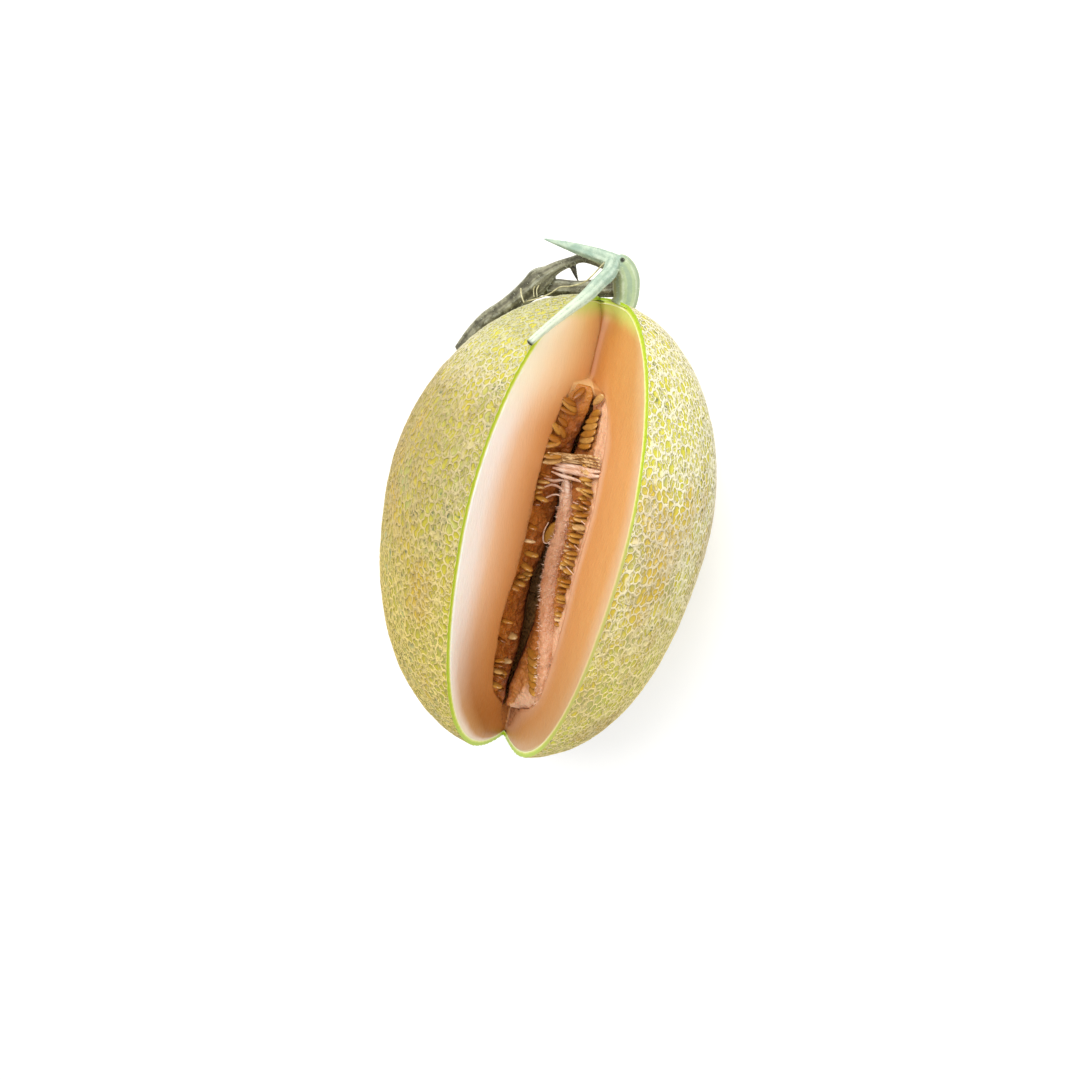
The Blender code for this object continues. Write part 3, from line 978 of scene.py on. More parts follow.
@dataclass(frozen=True)
class FleshFinish:
    """Moist cut flesh: pale under the rind, orange inside, pinkish and brown by the seeds. Its zones
    along the melon paint light and shade: paler towards the stem end, where the light falls, and
    darker towards the blossom end, which is partly painted shade and partly the flesh's deeper
    colour. The left face's paler ramps are partly painted light.
    """

    grain: NodeTree
    blossom: float = -0.105
    middle: float = -0.010
    shoulder: float = 0.040
    crown: float = 0.072
    lime: Triple = (0.66, 0.74, 0.20)
    crumb: Triple = (0.40, 0.15, 0.035)
    # Colours across the strip from the left face; its dark first stops paint shade in the crease
    # beside the left face.
    strip: Stops = (
        (0.0, (0.52, 0.20, 0.045)), (0.08, (0.58, 0.26, 0.08)), (0.20, (0.80, 0.50, 0.34)),
        (0.42, (0.80, 0.50, 0.32)), (0.66, (0.68, 0.36, 0.14)), (1.0, (0.68, 0.34, 0.10)))
    # Zones from the blossom end to the stem end, each the left face's ramp then the right face's; the
    # darker blossom zone is partly painted shade, the paler stem zones partly painted light.
    stops: tuple[tuple[Stops, Stops], ...] = (
        (((0.0, (0.86, 0.70, 0.50)), (0.05, (0.84, 0.69, 0.55)), (0.18, (0.53, 0.26, 0.08)),
          (0.45, (0.40, 0.14, 0.018)), (1.0, (0.62, 0.26, 0.06))),
         ((0.0, (0.70, 0.56, 0.28)), (0.05, (0.58, 0.34, 0.16)), (0.6, (0.60, 0.30, 0.11)),
          (0.85, (0.66, 0.38, 0.21)), (1.0, (0.58, 0.28, 0.13)))),
        (((0.0, (0.95, 0.94, 0.82)), (0.04, (0.97, 0.94, 0.88)), (0.20, (0.96, 0.89, 0.82)),
          (0.44, (0.85, 0.57, 0.35)), (0.78, (0.77, 0.42, 0.17)), (1.0, (0.68, 0.33, 0.11))),
         ((0.0, (0.80, 0.66, 0.34)), (0.04, (0.76, 0.52, 0.30)), (0.25, (0.74, 0.39, 0.14)),
          (0.78, (0.71, 0.355, 0.125)), (0.90, (0.80, 0.50, 0.31)), (1.0, (0.68, 0.32, 0.13)))),
        (((0.0, (0.96, 0.93, 0.70)), (0.10, (0.97, 0.92, 0.72)), (0.40, (0.97, 0.80, 0.56)),
          (0.75, (0.98, 0.74, 0.42)), (1.0, (0.97, 0.66, 0.30))),
         ((0.0, (0.72, 0.64, 0.28)), (0.06, (0.72, 0.47, 0.22)), (0.30, (0.65, 0.34, 0.11)),
          (1.0, (0.68, 0.34, 0.10)))))

    def build(self) -> Material:
        """Return the material.

        Returns:
            The material.
        """
        finish = Finish("melon_flesh")
        place = finish.place((1.0, 0.35, 1.0))
        grain = finish.group(self.grain, Vector=place, Mottle_Scale=70.0, Grain_Scale=900.0)
        wander = finish.sway(grain.outputs["Mottle"], 0.14)
        depth = finish.plus(finish.value("from_rind"), wander)
        _, along, _ = finish.axes()
        painted_light_zones = []
        for left, right in self.stops:
            painted_light_zones.append(finish.mix(finish.value("right"), finish.ramp(depth, left),
                                    finish.ramp(depth, right)))
        # Blend the zones along the melon: painted shade towards the blossom end, painted light
        # towards the stem end.
        colour = finish.mix(finish.remap(along, self.blossom, self.middle, 1.0, 0.0), painted_light_zones[1],
                            painted_light_zones[0])
        colour = finish.mix(finish.remap(along, self.shoulder, self.crown), colour, painted_light_zones[2])
        rough = finish.noise(finish.place(), 0.0016, 4.0, 0.7)
        crumbs = finish.times(finish.remap(rough, 0.50, 0.62), finish.remap(depth, 0.90, 1.0))
        crumbs = finish.times(crumbs, finish.remap(along, 0.050, 0.060, 1.0, 0.0))
        colour = finish.mix(finish.times(crumbs, 0.7), colour, self.crumb)
        strip = finish.ramp(finish.plus(finish.value("across"), wander), self.strip)
        colour = finish.mix(finish.value("on_strip"), colour, strip)
        green = finish.plus(along, finish.times(wander, 0.03))
        colour = finish.mix(finish.remap(green, 0.0870, 0.0955), colour, self.lime)
        finish.set("Base Color", colour)
        finish.set("Roughness", finish.remap(grain.outputs["Grain"], 0.3, 0.7, 0.36, 0.52))
        finish.set("Subsurface Weight", 0.15)
        finish.set("Subsurface Radius", (1.0, 0.6, 0.4))
        finish.set("Subsurface Scale", 0.003)
        finish.bump(finish.math("MULTIPLY_ADD", crumbs, 1.5, grain.outputs["Height"]), 0.00022)
        return finish.material


@dataclass(frozen=True)
class PulpFinish:
    """Wet pulp, coloured from the rim at 0 to the slit at 1, with darker mottling. The ramps given
    for the seed beds end in painted shade at the slit.
    """

    grain: NodeTree
    name: str
    stops: Stops
    shadow: Triple

    def build(self) -> Material:
        """Return the material.

        Returns:
            The material.
        """
        finish = Finish(self.name)
        grain = finish.group(self.grain, Vector=finish.place((1.0, 0.6, 1.0)), Mottle_Scale=260.0,
                             Grain_Scale=1300.0)
        wander = finish.sway(grain.outputs["Mottle"], 0.3)
        colour = finish.ramp(finish.plus(finish.value("share"), wander), self.stops)
        mask = finish.times(finish.remap(grain.outputs["Mottle"], 0.34, 0.58, 0.75, 0.0),
                            finish.remap(finish.value("share"), 0.10, 0.34, 0.25, 1.0))
        finish.set("Base Color", finish.mix(mask, colour, self.shadow))
        finish.set("Roughness", finish.remap(grain.outputs["Grain"], 0.3, 0.7, 0.26, 0.44))
        finish.set("Subsurface Weight", 0.2)
        finish.set("Subsurface Radius", (1.0, 0.4, 0.2))
        finish.set("Subsurface Scale", 0.002)
        finish.bump(grain.outputs["Height"], 0.0006)
        return finish.material


@dataclass(frozen=True)
class SeedFinish:
    """Glossy tan to brown seeds, each of one tone with brown mottling."""

    grain: NodeTree
    mottle: Triple = (0.30, 0.11, 0.03)
    tones: Stops = (
        (0.0, (0.18, 0.045, 0.002)), (0.35, (0.39, 0.14, 0.008)), (0.7, (0.56, 0.30, 0.05)),
        (1.0, (0.78, 0.56, 0.28)))

    def build(self) -> Material:
        """Return the material.

        Returns:
            The material.
        """
        finish = Finish("melon_seed")
        colour = finish.ramp(finish.value("tone"), self.tones)
        grain = finish.group(self.grain, Vector=finish.place(), Mottle_Scale=420.0,
                             Grain_Scale=2200.0)
        colour = finish.mix(finish.remap(grain.outputs["Mottle"], 0.35, 0.7, 0.0, 0.5), colour,
                            self.mottle)
        finish.set("Base Color", colour)
        finish.set("Roughness", 0.24)
        finish.set("Coat Weight", 0.25)
        finish.set("Coat Roughness", 0.12)
        finish.bump(grain.outputs["Height"], 0.00012)
        return finish.material


@dataclass(frozen=True)
class StemFinish:
    """Dry stalk and vine: pale mint on the stalk, olive and dark brown further along, with a painted
    olive shade on the stalk's left side.
    """

    grain: NodeTree
    mint: tuple[Triple, Triple] = ((0.28, 0.40, 0.31), (0.47, 0.57, 0.44))
    bark: tuple[Triple, Triple] = ((0.085, 0.080, 0.045), (0.27, 0.26, 0.17))
    # Painted shade in the grooves between the ribs, fresh then old.
    groove_shade: tuple[Triple, Triple] = ((0.25, 0.34, 0.25), (0.035, 0.030, 0.018))
    leafy: Triple = (0.38, 0.46, 0.22)
    pale: Triple = (0.61, 0.68, 0.52)
    # Painted shade: the olive band low on the stalk's left side.
    olive: Triple = (0.25, 0.24, 0.10)
    # Painted highlight along the crests of the ribs.
    crest: Triple = (0.80, 0.84, 0.70)
    withered: Triple = (0.02, 0.015, 0.010)
    # Painted shade in the pit on the stalk's top, and a dark front arm tip.
    pit_shade_and_tip: Triple = (0.020, 0.025, 0.012)

    def build(self) -> Material:
        """Return the material.

        Returns:
            The material.
        """
        finish = Finish("stem_skin")
        grain = finish.group(self.grain, Vector=finish.place(), Mottle_Scale=230.0,
                             Grain_Scale=1500.0)
        mottle = finish.remap(grain.outputs["Mottle"], 0.35, 0.65)
        across, along, up = finish.axes()
        fresh = finish.mix(mottle, *self.mint)
        stalk = finish.times(finish.remap(across, 0.0030, 0.0060),
                             finish.remap(up, 0.0740, 0.0800, 1.0, 0.0))
        fresh = finish.mix(finish.times(stalk, 0.7), fresh, self.leafy)
        fresh = finish.mix(finish.remap(up, 0.080, 0.108), fresh, self.pale)
        # Paint the shade on the stalk's left side, below the arms.
        olive = finish.times(finish.remap(across, 0.0040, 0.0115, 1.0, 0.0),
                             finish.remap(up, 0.0665, 0.0720, 1.0, 0.0))
        olive = finish.times(olive, finish.remap(along, 0.1115, 0.1150, 1.0, 0.0))
        fresh = finish.mix(finish.times(olive, 0.85), fresh, self.olive)
        old = finish.mix(mottle, *self.bark)
        age = finish.plus(finish.value("age"),
                          finish.sway(finish.noise(finish.place(), 0.005, 2.0), 0.6))
        colour = finish.mix(finish.remap(age, 0.15, 0.80), fresh, old)
        rib = finish.plus(finish.value("rib"), finish.sway(finish.noise(finish.place(), 0.0025), 0.8))
        # Paint shade into the grooves and a highlight onto the crests of the ribs.
        groove_shade = finish.mix(finish.remap(age, 0.2, 0.8), *self.groove_shade)
        colour = finish.mix(finish.remap(rib, 0.05, 0.45, 0.6, 0.0), colour, groove_shade)
        colour = finish.mix(finish.remap(rib, 0.75, 1.1, 0.0, 0.3), colour, self.crest)
        colour = finish.mix(finish.remap(age, 1.15, 1.35), colour, self.withered)
        colour = finish.mix(finish.remap(finish.value("dark"), 0.15, 0.6), colour, self.pit_shade_and_tip)
        finish.set("Base Color", colour)
        finish.set("Roughness", 0.72)
        height = finish.math("MULTIPLY_ADD", grain.outputs["Grain"], 0.5, grain.outputs["Mottle"])
        finish.bump(height, 0.0004)
        return finish.material


@dataclass(frozen=True)
class StrandFinish:
    """Plain dull finish of hairs, tendrils and pulp strands."""

    name: str
    colour: Triple
    shade: Triple

    def build(self) -> Material:
        """Return the material.

        Returns:
            The material.
        """
        finish = Finish(self.name)
        grain = finish.noise(finish.place((0.25, 1.0, 0.25)), 0.0009, 3.0)
        finish.set("Base Color", finish.mix(finish.remap(grain, 0.4, 0.6), self.shade, self.colour))
        finish.set("Roughness", 0.55)
        finish.bump(grain, 0.00015)
        return finish.material


@dataclass(frozen=True)
class StageFinish:
    """Plain pale floor."""

    colour: Triple = (0.93, 0.93, 0.93)
    shade: Triple = (0.90, 0.90, 0.90)

    def build(self) -> Material:
        """Return the material.

        Returns:
            The material.
        """
        finish = Finish("pale_floor")
        shade = finish.noise(finish.place(), 0.4, 2.0)
        finish.set("Base Color", finish.mix(finish.remap(shade, 0.3, 0.7, 0.0, 0.15), self.colour,
                                            self.shade))
        finish.set("Roughness", 0.9)
        finish.set("Emission Color", (1.0, 1.0, 1.0, 1.0))
        finish.set("Emission Strength", 0.15)
        return finish.material


# Sub-assemblies


@dataclass
class NettedRind:
    """The rind in four quarters, each a shell whose skin is covered by the raised net."""

    form: MelonForm
    wedge: WedgeCut
    skin: Material
    edge: Material
    thickness: float = 0.0025
    pitch: float = 0.0031
    stretch: float = 1.42
    cell_area: float = 0.866
    scatter: float = 0.95
    order_scatter: float = 40.0
    merged: float = 0.22
    merged_right: float = 0.55
    merge_span: tuple[float, float] = (0.012, 0.02)
    net_height: float = 0.00060
    shoulder_share: float = 0.87
    shoulder_level: float = 0.82
    floor_share: float = 0.84
    width_scatter: float = 0.045
    crest_level: float = 0.74
    crest_wave: Waves = ((0.5, 0.0075, 3),)
    middle_level: tuple[float, float] = (0.62, 1.05)
    short_line: float = 0.0012
    wobble: float = 0.20
    split_along: float = -0.012
    cap: float = math.radians(12.0)
    cut_reach: float = 0.012
    seat: Triple = (0.0098, 0.0978, -0.0088)
    seat_reach: float = 0.0085
    seat_fade: float = 0.006
    seed: int = 11

    def build(self) -> None:
        """Make the quarters, with the net, the cut edge and the inner side."""
        cells = self.cell_mesh()
        self.cut_open(cells)
        self.merge_cells(cells)
        self.bend_lines(cells)
        relief = self.relief_tree()
        for side in Side:
            for end in (-1, 1):
                self.quarter(cells, side, end, relief)
        cells.free()

    def cell_centres(self) -> Array:
        """Scatter the cells evenly over the melon, shortened by the cells' stretch.

        Returns:
            One centre a row, about the straight axis.
        """
        dice = np.random.default_rng(self.seed)
        along = self.form.stations(4001)
        radius = self.form.radius_at(along)
        along = along / self.stretch
        strip = np.hypot(np.diff(along), np.diff(radius)) * math.pi * (radius[1:] + radius[:-1])
        covered = np.concatenate(([0.0], np.cumsum(strip)))
        count = int(covered[-1] / (self.cell_area * self.pitch ** 2))
        order = np.arange(count) + 0.5
        order += dice.uniform(-self.order_scatter, self.order_scatter, count) * self.scatter
        place = np.interp(np.clip(order / count, 0.0, 1.0) * covered[-1], covered, along)
        reach = np.interp(place, along, radius)
        golden = math.pi * (3.0 - math.sqrt(5.0))
        turn = golden * np.arange(count)
        turn += (dice.uniform(-0.5, 0.5, count) * self.scatter * self.pitch
                 / np.maximum(reach, self.pitch))
        return np.stack((reach * np.cos(turn), place, reach * np.sin(turn)), axis=1)

    def chart(self, centres: Array) -> Array:
        """Spread the centres on a plane so that angles are kept, seen from the open wedge.

        Args:
            centres: One centre a row.

        Returns:
            The centres on the plane, without a value close to the open wedge.
        """
        along = self.form.stations(8001, 1e-4)
        radius = np.maximum(self.form.radius_at(along), 1e-6)
        along = along / self.stretch
        climb = np.hypot(np.diff(along), np.diff(radius)) / (0.5 * (radius[1:] + radius[:-1]))
        height = np.concatenate(([0.0], np.cumsum(climb)))
        height -= np.interp(0.0, along, height)
        latitude = 2.0 * np.arctan(np.exp(np.interp(centres[:, 1], along, height))) - 0.5 * math.pi
        turn = np.arctan2(centres[:, 2], centres[:, 0])
        away = 1.0 - np.cos(latitude) * np.sin(turn)
        plane = np.stack((np.cos(latitude) * np.cos(turn), np.sin(latitude)), axis=1)
        kept = away > 1.0 - math.cos(self.cap)
        plane[kept] /= away[kept, None]
        plane[~kept] = np.nan
        return plane

    def cell_mesh(self) -> BMesh:
        """Make the skin as one face for each cell of the net.

        Returns:
            The skin.
        """
        centres = self.cell_centres()
        plane = self.chart(centres)
        kept = ~np.isnan(plane[:, 0])
        centres = centres[kept]
        plane = plane[kept]
        result = geometry.delaunay_2d_cdt([Vector(place) for place in plane], [], [], 0, 1e-7)
        source = [entry[0] if entry else -1 for entry in result[3]]
        corners = np.array([[source[corner] for corner in face] for face in result[2]])
        corners = corners[(corners >= 0).all(axis=1)]
        middles = centres[corners].mean(axis=1)
        flat = plane[corners].mean(axis=1)
        middles[:, 1] *= self.stretch
        points, _ = self.form.on_skin(middles)
        around: list[list[int]] = [[] for _ in centres]
        for index, triangle in enumerate(corners):
            for corner in triangle:
                around[corner].append(index)
        edges: dict[tuple[int, int], int] = {}
        for triangle in corners:
            for first, second in ((0, 1), (1, 2), (2, 0)):
                pair = tuple(sorted((triangle[first], triangle[second])))
                edges[pair] = edges.get(pair, 0) + 1
        outer = {corner for pair, uses in edges.items() if uses == 1 for corner in pair}
        data = bmesh.new()
        verts = [data.verts.new(point) for point in points]
        for index, ring in enumerate(around):
            if index in outer or len(ring) < 3:
                continue
            ring.sort(key=lambda entry: math.atan2(flat[entry, 1] - plane[index, 1],
                                                   flat[entry, 0] - plane[index, 0]))
            face = data.faces.new([verts[entry] for entry in ring])
            face.normal_update()
            centre = face.calc_center_median()
            if face.normal.dot(centre - Vector((0.0, centre.y, self.form.axis_height))) < 0.0:
                face.normal_flip()
        loose = [vert for vert in data.verts if not vert.link_faces]
        bmesh.ops.delete(data, geom=loose, context="VERTS")
        return data

    def cut_open(self, data: BMesh) -> None:
        """Cut the skin along the wedge's faces and drop the part that was cut out.

        Args:
            data: The skin.
        """
        line = np.array(self.wedge.line_stem) - np.array(self.wedge.line_blossom)
        planes = []
        start = self.wedge.line_at(np.array([self.wedge.end_along]))[0]
        for side in Side:
            planes.append((start, np.cross(line, self.wedge.up(side))))
        left = start + self.wedge.up(Side.LEFT) * self.wedge.end_left
        right = start + self.wedge.up(Side.RIGHT) * self.wedge.end_right
        planes.append((left, np.cross(line, right - left)))
        for place, normal in planes:
            normal = Vector(normal).normalized()
            place = Vector(place)
            near = []
            for face in data.faces:
                centre = face.calc_center_median()
                if abs((centre - place).dot(normal)) > self.cut_reach:
                    continue
                if self.wedge.inside(np.array([centre]))[0] > -self.cut_reach:
                    near.append(face)
            parts = {part for face in near for part in (*face.verts, *face.edges)}
            bmesh.ops.bisect_plane(data, geom=[*near, *parts], dist=1e-6, plane_co=place,
                                   plane_no=normal)
        centres = np.array([face.calc_center_median() for face in data.faces])
        depth = self.wedge.inside(centres)
        gone = [face for face, inside in zip(list(data.faces), depth) if inside > 0.0]
        bmesh.ops.delete(data, geom=gone, context="FACES")

    def merge_cells(self, data: BMesh) -> None:
        """Open some lines so that cells join in pairs, mostly end to end on the right.

        Args:
            data: The skin.
        """
        dice = np.random.default_rng(self.seed + 5)
        used = set()
        opened = []
        for edge in data.edges:
            if len(edge.link_faces) != 2 or any(vert.is_boundary for vert in edge.verts):
                continue
            if any(face in used for face in edge.link_faces):
                continue
            way = (edge.verts[1].co - edge.verts[0].co).normalized()
            right = min(1.0, max(0.0, (edge.verts[0].co.x - self.merge_span[0])
                                 / self.merge_span[1]))
            share = self.merged * (1.0 - right)
            if abs(way.y) < 0.5:
                share += self.merged_right * right
            if dice.uniform() < share:
                used.update(edge.link_faces)
                opened.append(edge)
        bmesh.ops.dissolve_edges(data, edges=opened, use_verts=False, use_face_split=False)

    def bend_lines(self, data: BMesh) -> None:
        """Give each line of the net one bend, and store how high the net stands there.

        Args:
            data: The skin.
        """
        crest = data.verts.layers.float.new("crest")
        centres = np.array([vert.co for vert in data.verts])
        seat = self.form.on_skin(np.array([self.seat]))[0][0]
        for vert, value in zip(data.verts, waves(centres, self.crest_wave)):
            vert[crest] = min(1.0, self.crest_level + value)
            away = (vert.co - Vector(seat)).length
            vert[crest] *= min(1.0, max(0.0, (away - self.seat_reach) / self.seat_fade))
        dice = np.random.default_rng(self.seed + 1)
        for edge in list(data.edges):
            ends = [vert.co.copy() for vert in edge.verts]
            high = sum(vert[crest] for vert in edge.verts) / 2.0
            boundary = edge.is_boundary
            length = (ends[1] - ends[0]).length
            normal = sum((face.normal for face in edge.link_faces), Vector()).normalized()
            shift = normal.cross(ends[1] - ends[0]) * dice.uniform(-self.wobble, self.wobble)
            if length < self.short_line:
                continue
            _, vert = bmesh.utils.edge_split(edge, edge.verts[0], 0.5)
            if boundary:
                vert[crest] = 0.0
            else:
                vert.co = (ends[0] + ends[1]) / 2.0 + shift
                vert[crest] = high * dice.uniform(*self.middle_level)
        straight = data.verts.layers.float_vector.new("skin_normal")
        places = np.array([vert.co for vert in data.verts])
        places[:, 0] -= self.form.bend_at(places[:, 1])
        places[:, 2] -= self.form.axis_height
        _, normals = self.form.on_skin(places)
        for vert, normal in zip(data.verts, normals):
            vert[straight] = normal

    def relief_tree(self) -> GeometryTree:
        """Build the tree that raises the net between the cells.

        Returns:
            The tree.
        """
        steps = GeometryTree("raised_net", (
            ("Net Height", "NodeSocketFloat"), ("Shoulder Share", "NodeSocketFloat"),
            ("Floor Share", "NodeSocketFloat"), ("Width Scatter", "NodeSocketFloat"),
            ("Thickness", "NodeSocketFloat"), ("Seed", "NodeSocketInt"),
            ("Skin", "NodeSocketMaterial")))
        source = steps.source.outputs
        number = steps.add("GeometryNodeInputIndex").outputs["Index"]
        base = steps.stored(source["Geometry"], "corner", number, "INT").outputs["Geometry"]
        mesh = steps.stored(base, "net", 1.0).outputs["Geometry"]
        top = None
        for share, level in (("Shoulder Share", self.shoulder_level), ("Floor Share", 0.0)):
            grown = steps.add("GeometryNodeExtrudeMesh", {"mode": "FACES"}, Mesh=mesh,
                              Offset_Scale=0.0, Individual=True)
            if top is not None:
                steps.connect(grown, "Selection", top)
            low = steps.math("SUBTRACT", source[share], source["Width Scatter"])
            high = steps.plus(source[share], source["Width Scatter"])
            spread = steps.add("FunctionNodeRandomValue", {"data_type": "FLOAT"}, Min=low, Max=high,
                               Seed=source["Seed"])
            top = grown.outputs["Top"]
            scaled = steps.add("GeometryNodeScaleElements", {"domain": "FACE"},
                               Geometry=grown.outputs["Mesh"], Selection=top,
                               Scale=spread.outputs[1])
            ring = steps.stored(scaled.outputs["Geometry"], "net", level)
            steps.connect(ring, "Selection", top)
            mesh = ring.outputs["Geometry"]
        rise = steps.times(steps.read("crest"), steps.read("net"))
        outer = self.moved(steps, mesh, steps.times(rise, source["Net Height"]))
        inner = self.moved(steps, base, steps.times(source["Thickness"], -1.0))
        inner = steps.add("GeometryNodeFlipFaces", Mesh=inner).outputs["Mesh"]
        inner = steps.stored(inner, "depth", 1.0).outputs["Geometry"]
        joined = steps.add("GeometryNodeJoinGeometry")
        for part in (outer, inner):
            put(steps.tree, joined.inputs[0], part)
        smooth = steps.add("GeometryNodeSetShadeSmooth", Geometry=joined.outputs["Geometry"])
        real = steps.add("GeometryNodeRealizeInstances", Geometry=smooth.outputs["Geometry"])
        steps.end(real.outputs["Geometry"], source["Skin"])
        return steps

    @staticmethod
    def moved(steps: GeometryTree, mesh: Socket, distance: Socket) -> Socket:
        """Return a mesh moved along the stored skin normal.

        Args:
            steps: The tree that the nodes go into.
            mesh: The mesh.
            distance: How far to move it.

        Returns:
            The moved mesh.
        """
        shift = steps.add("ShaderNodeVectorMath", {"operation": "SCALE"},
                          Vector=steps.read("skin_normal", "FLOAT_VECTOR"), Scale=distance)
        node = steps.add("GeometryNodeSetPosition", Geometry=mesh, Offset=shift.outputs[0])
        return node.outputs["Geometry"]

    def quarter(self, cells: BMesh, side: Side, end: int, relief: GeometryTree) -> None:
        """Make one quarter of the rind.

        Args:
            cells: The skin, one face a cell.
            side: Left or right of the melon's middle.
            end: 1 for the stem's end, -1 for the blossom's.
            relief: The tree that raises the net.
        """
        data = cells.copy()
        across = []
        for face in data.faces:
            centre = face.calc_center_median()
            if ((centre.x - self.middle(face)) * side.value < 0.0
                    or (centre.y - self.split_along) * end < 0.0):
                across.append(face)
        bmesh.ops.delete(data, geom=across, context="FACES")
        mesh = bpy.data.meshes.new("rind_quarter")
        data.to_mesh(mesh)
        data.free()
        dice = np.random.default_rng(self.seed + 2 + side.value)
        store(mesh, "tint", dice.uniform(0.0, 1.0, len(mesh.polygons)), "FACE")
        part = "stem" if end > 0 else "blossom"
        item = add_item(f"rind_{side.name.lower()}_{part}", mesh)
        relief.apply(item, {
            "Net Height": self.net_height, "Shoulder Share": self.shoulder_share,
            "Floor Share": self.floor_share, "Width Scatter": self.width_scatter,
            "Thickness": self.thickness, "Seed": self.seed, "Skin": self.skin})
        self.close_rim(item)
        self.rest_flat(item.data)
        finish_piece(item, ["rind"])

    def middle(self, face: bmesh.types.BMFace) -> float:
        """Return where the left and right quarters meet, across the melon, at a face."""
        return float(self.form.bend_at(np.array([face.calc_center_median().y]))[0])

    def close_rim(self, item: Item) -> None:
        """Join the outer and inner sides along the open edges.

        Args:
            item: The quarter, with its outer and inner sides.
        """
        item.data.materials.append(self.edge)
        rim_slot = len(item.data.materials) - 1
        data = bmesh.new()
        data.from_mesh(item.data)
        corner = data.verts.layers.int["corner"]
        level = data.verts.layers.float["net"]
        depth = data.verts.layers.float["depth"]
        outer = {}
        inner = {}
        for vert in data.verts:
            if vert[depth] > 0.5:
                inner[vert[corner]] = vert
            elif vert[level] > 0.99:
                outer[vert[corner]] = vert
        rims = [edge for edge in data.edges if edge.is_boundary and edge.verts[0][depth] < 0.5]
        for edge in rims:
            loop = edge.link_loops[0]
            start = loop.vert
            end = loop.link_loop_next.vert
            face = data.faces.new((end, start, inner[start[corner]], inner[end[corner]]))
            face.material_index = rim_slot
            face.smooth = False
            edge.smooth = False
        data.to_mesh(item.data)
        data.free()

    def rest_flat(self, mesh: Mesh) -> None:
        """Press the underside flat where the melon rests.

        Args:
            mesh: The quarter's mesh.
        """
        places = places_of(mesh)
        low = places[:, 2] < 0.0
        places[low, 2] = 0.0
        set_places(mesh, places)


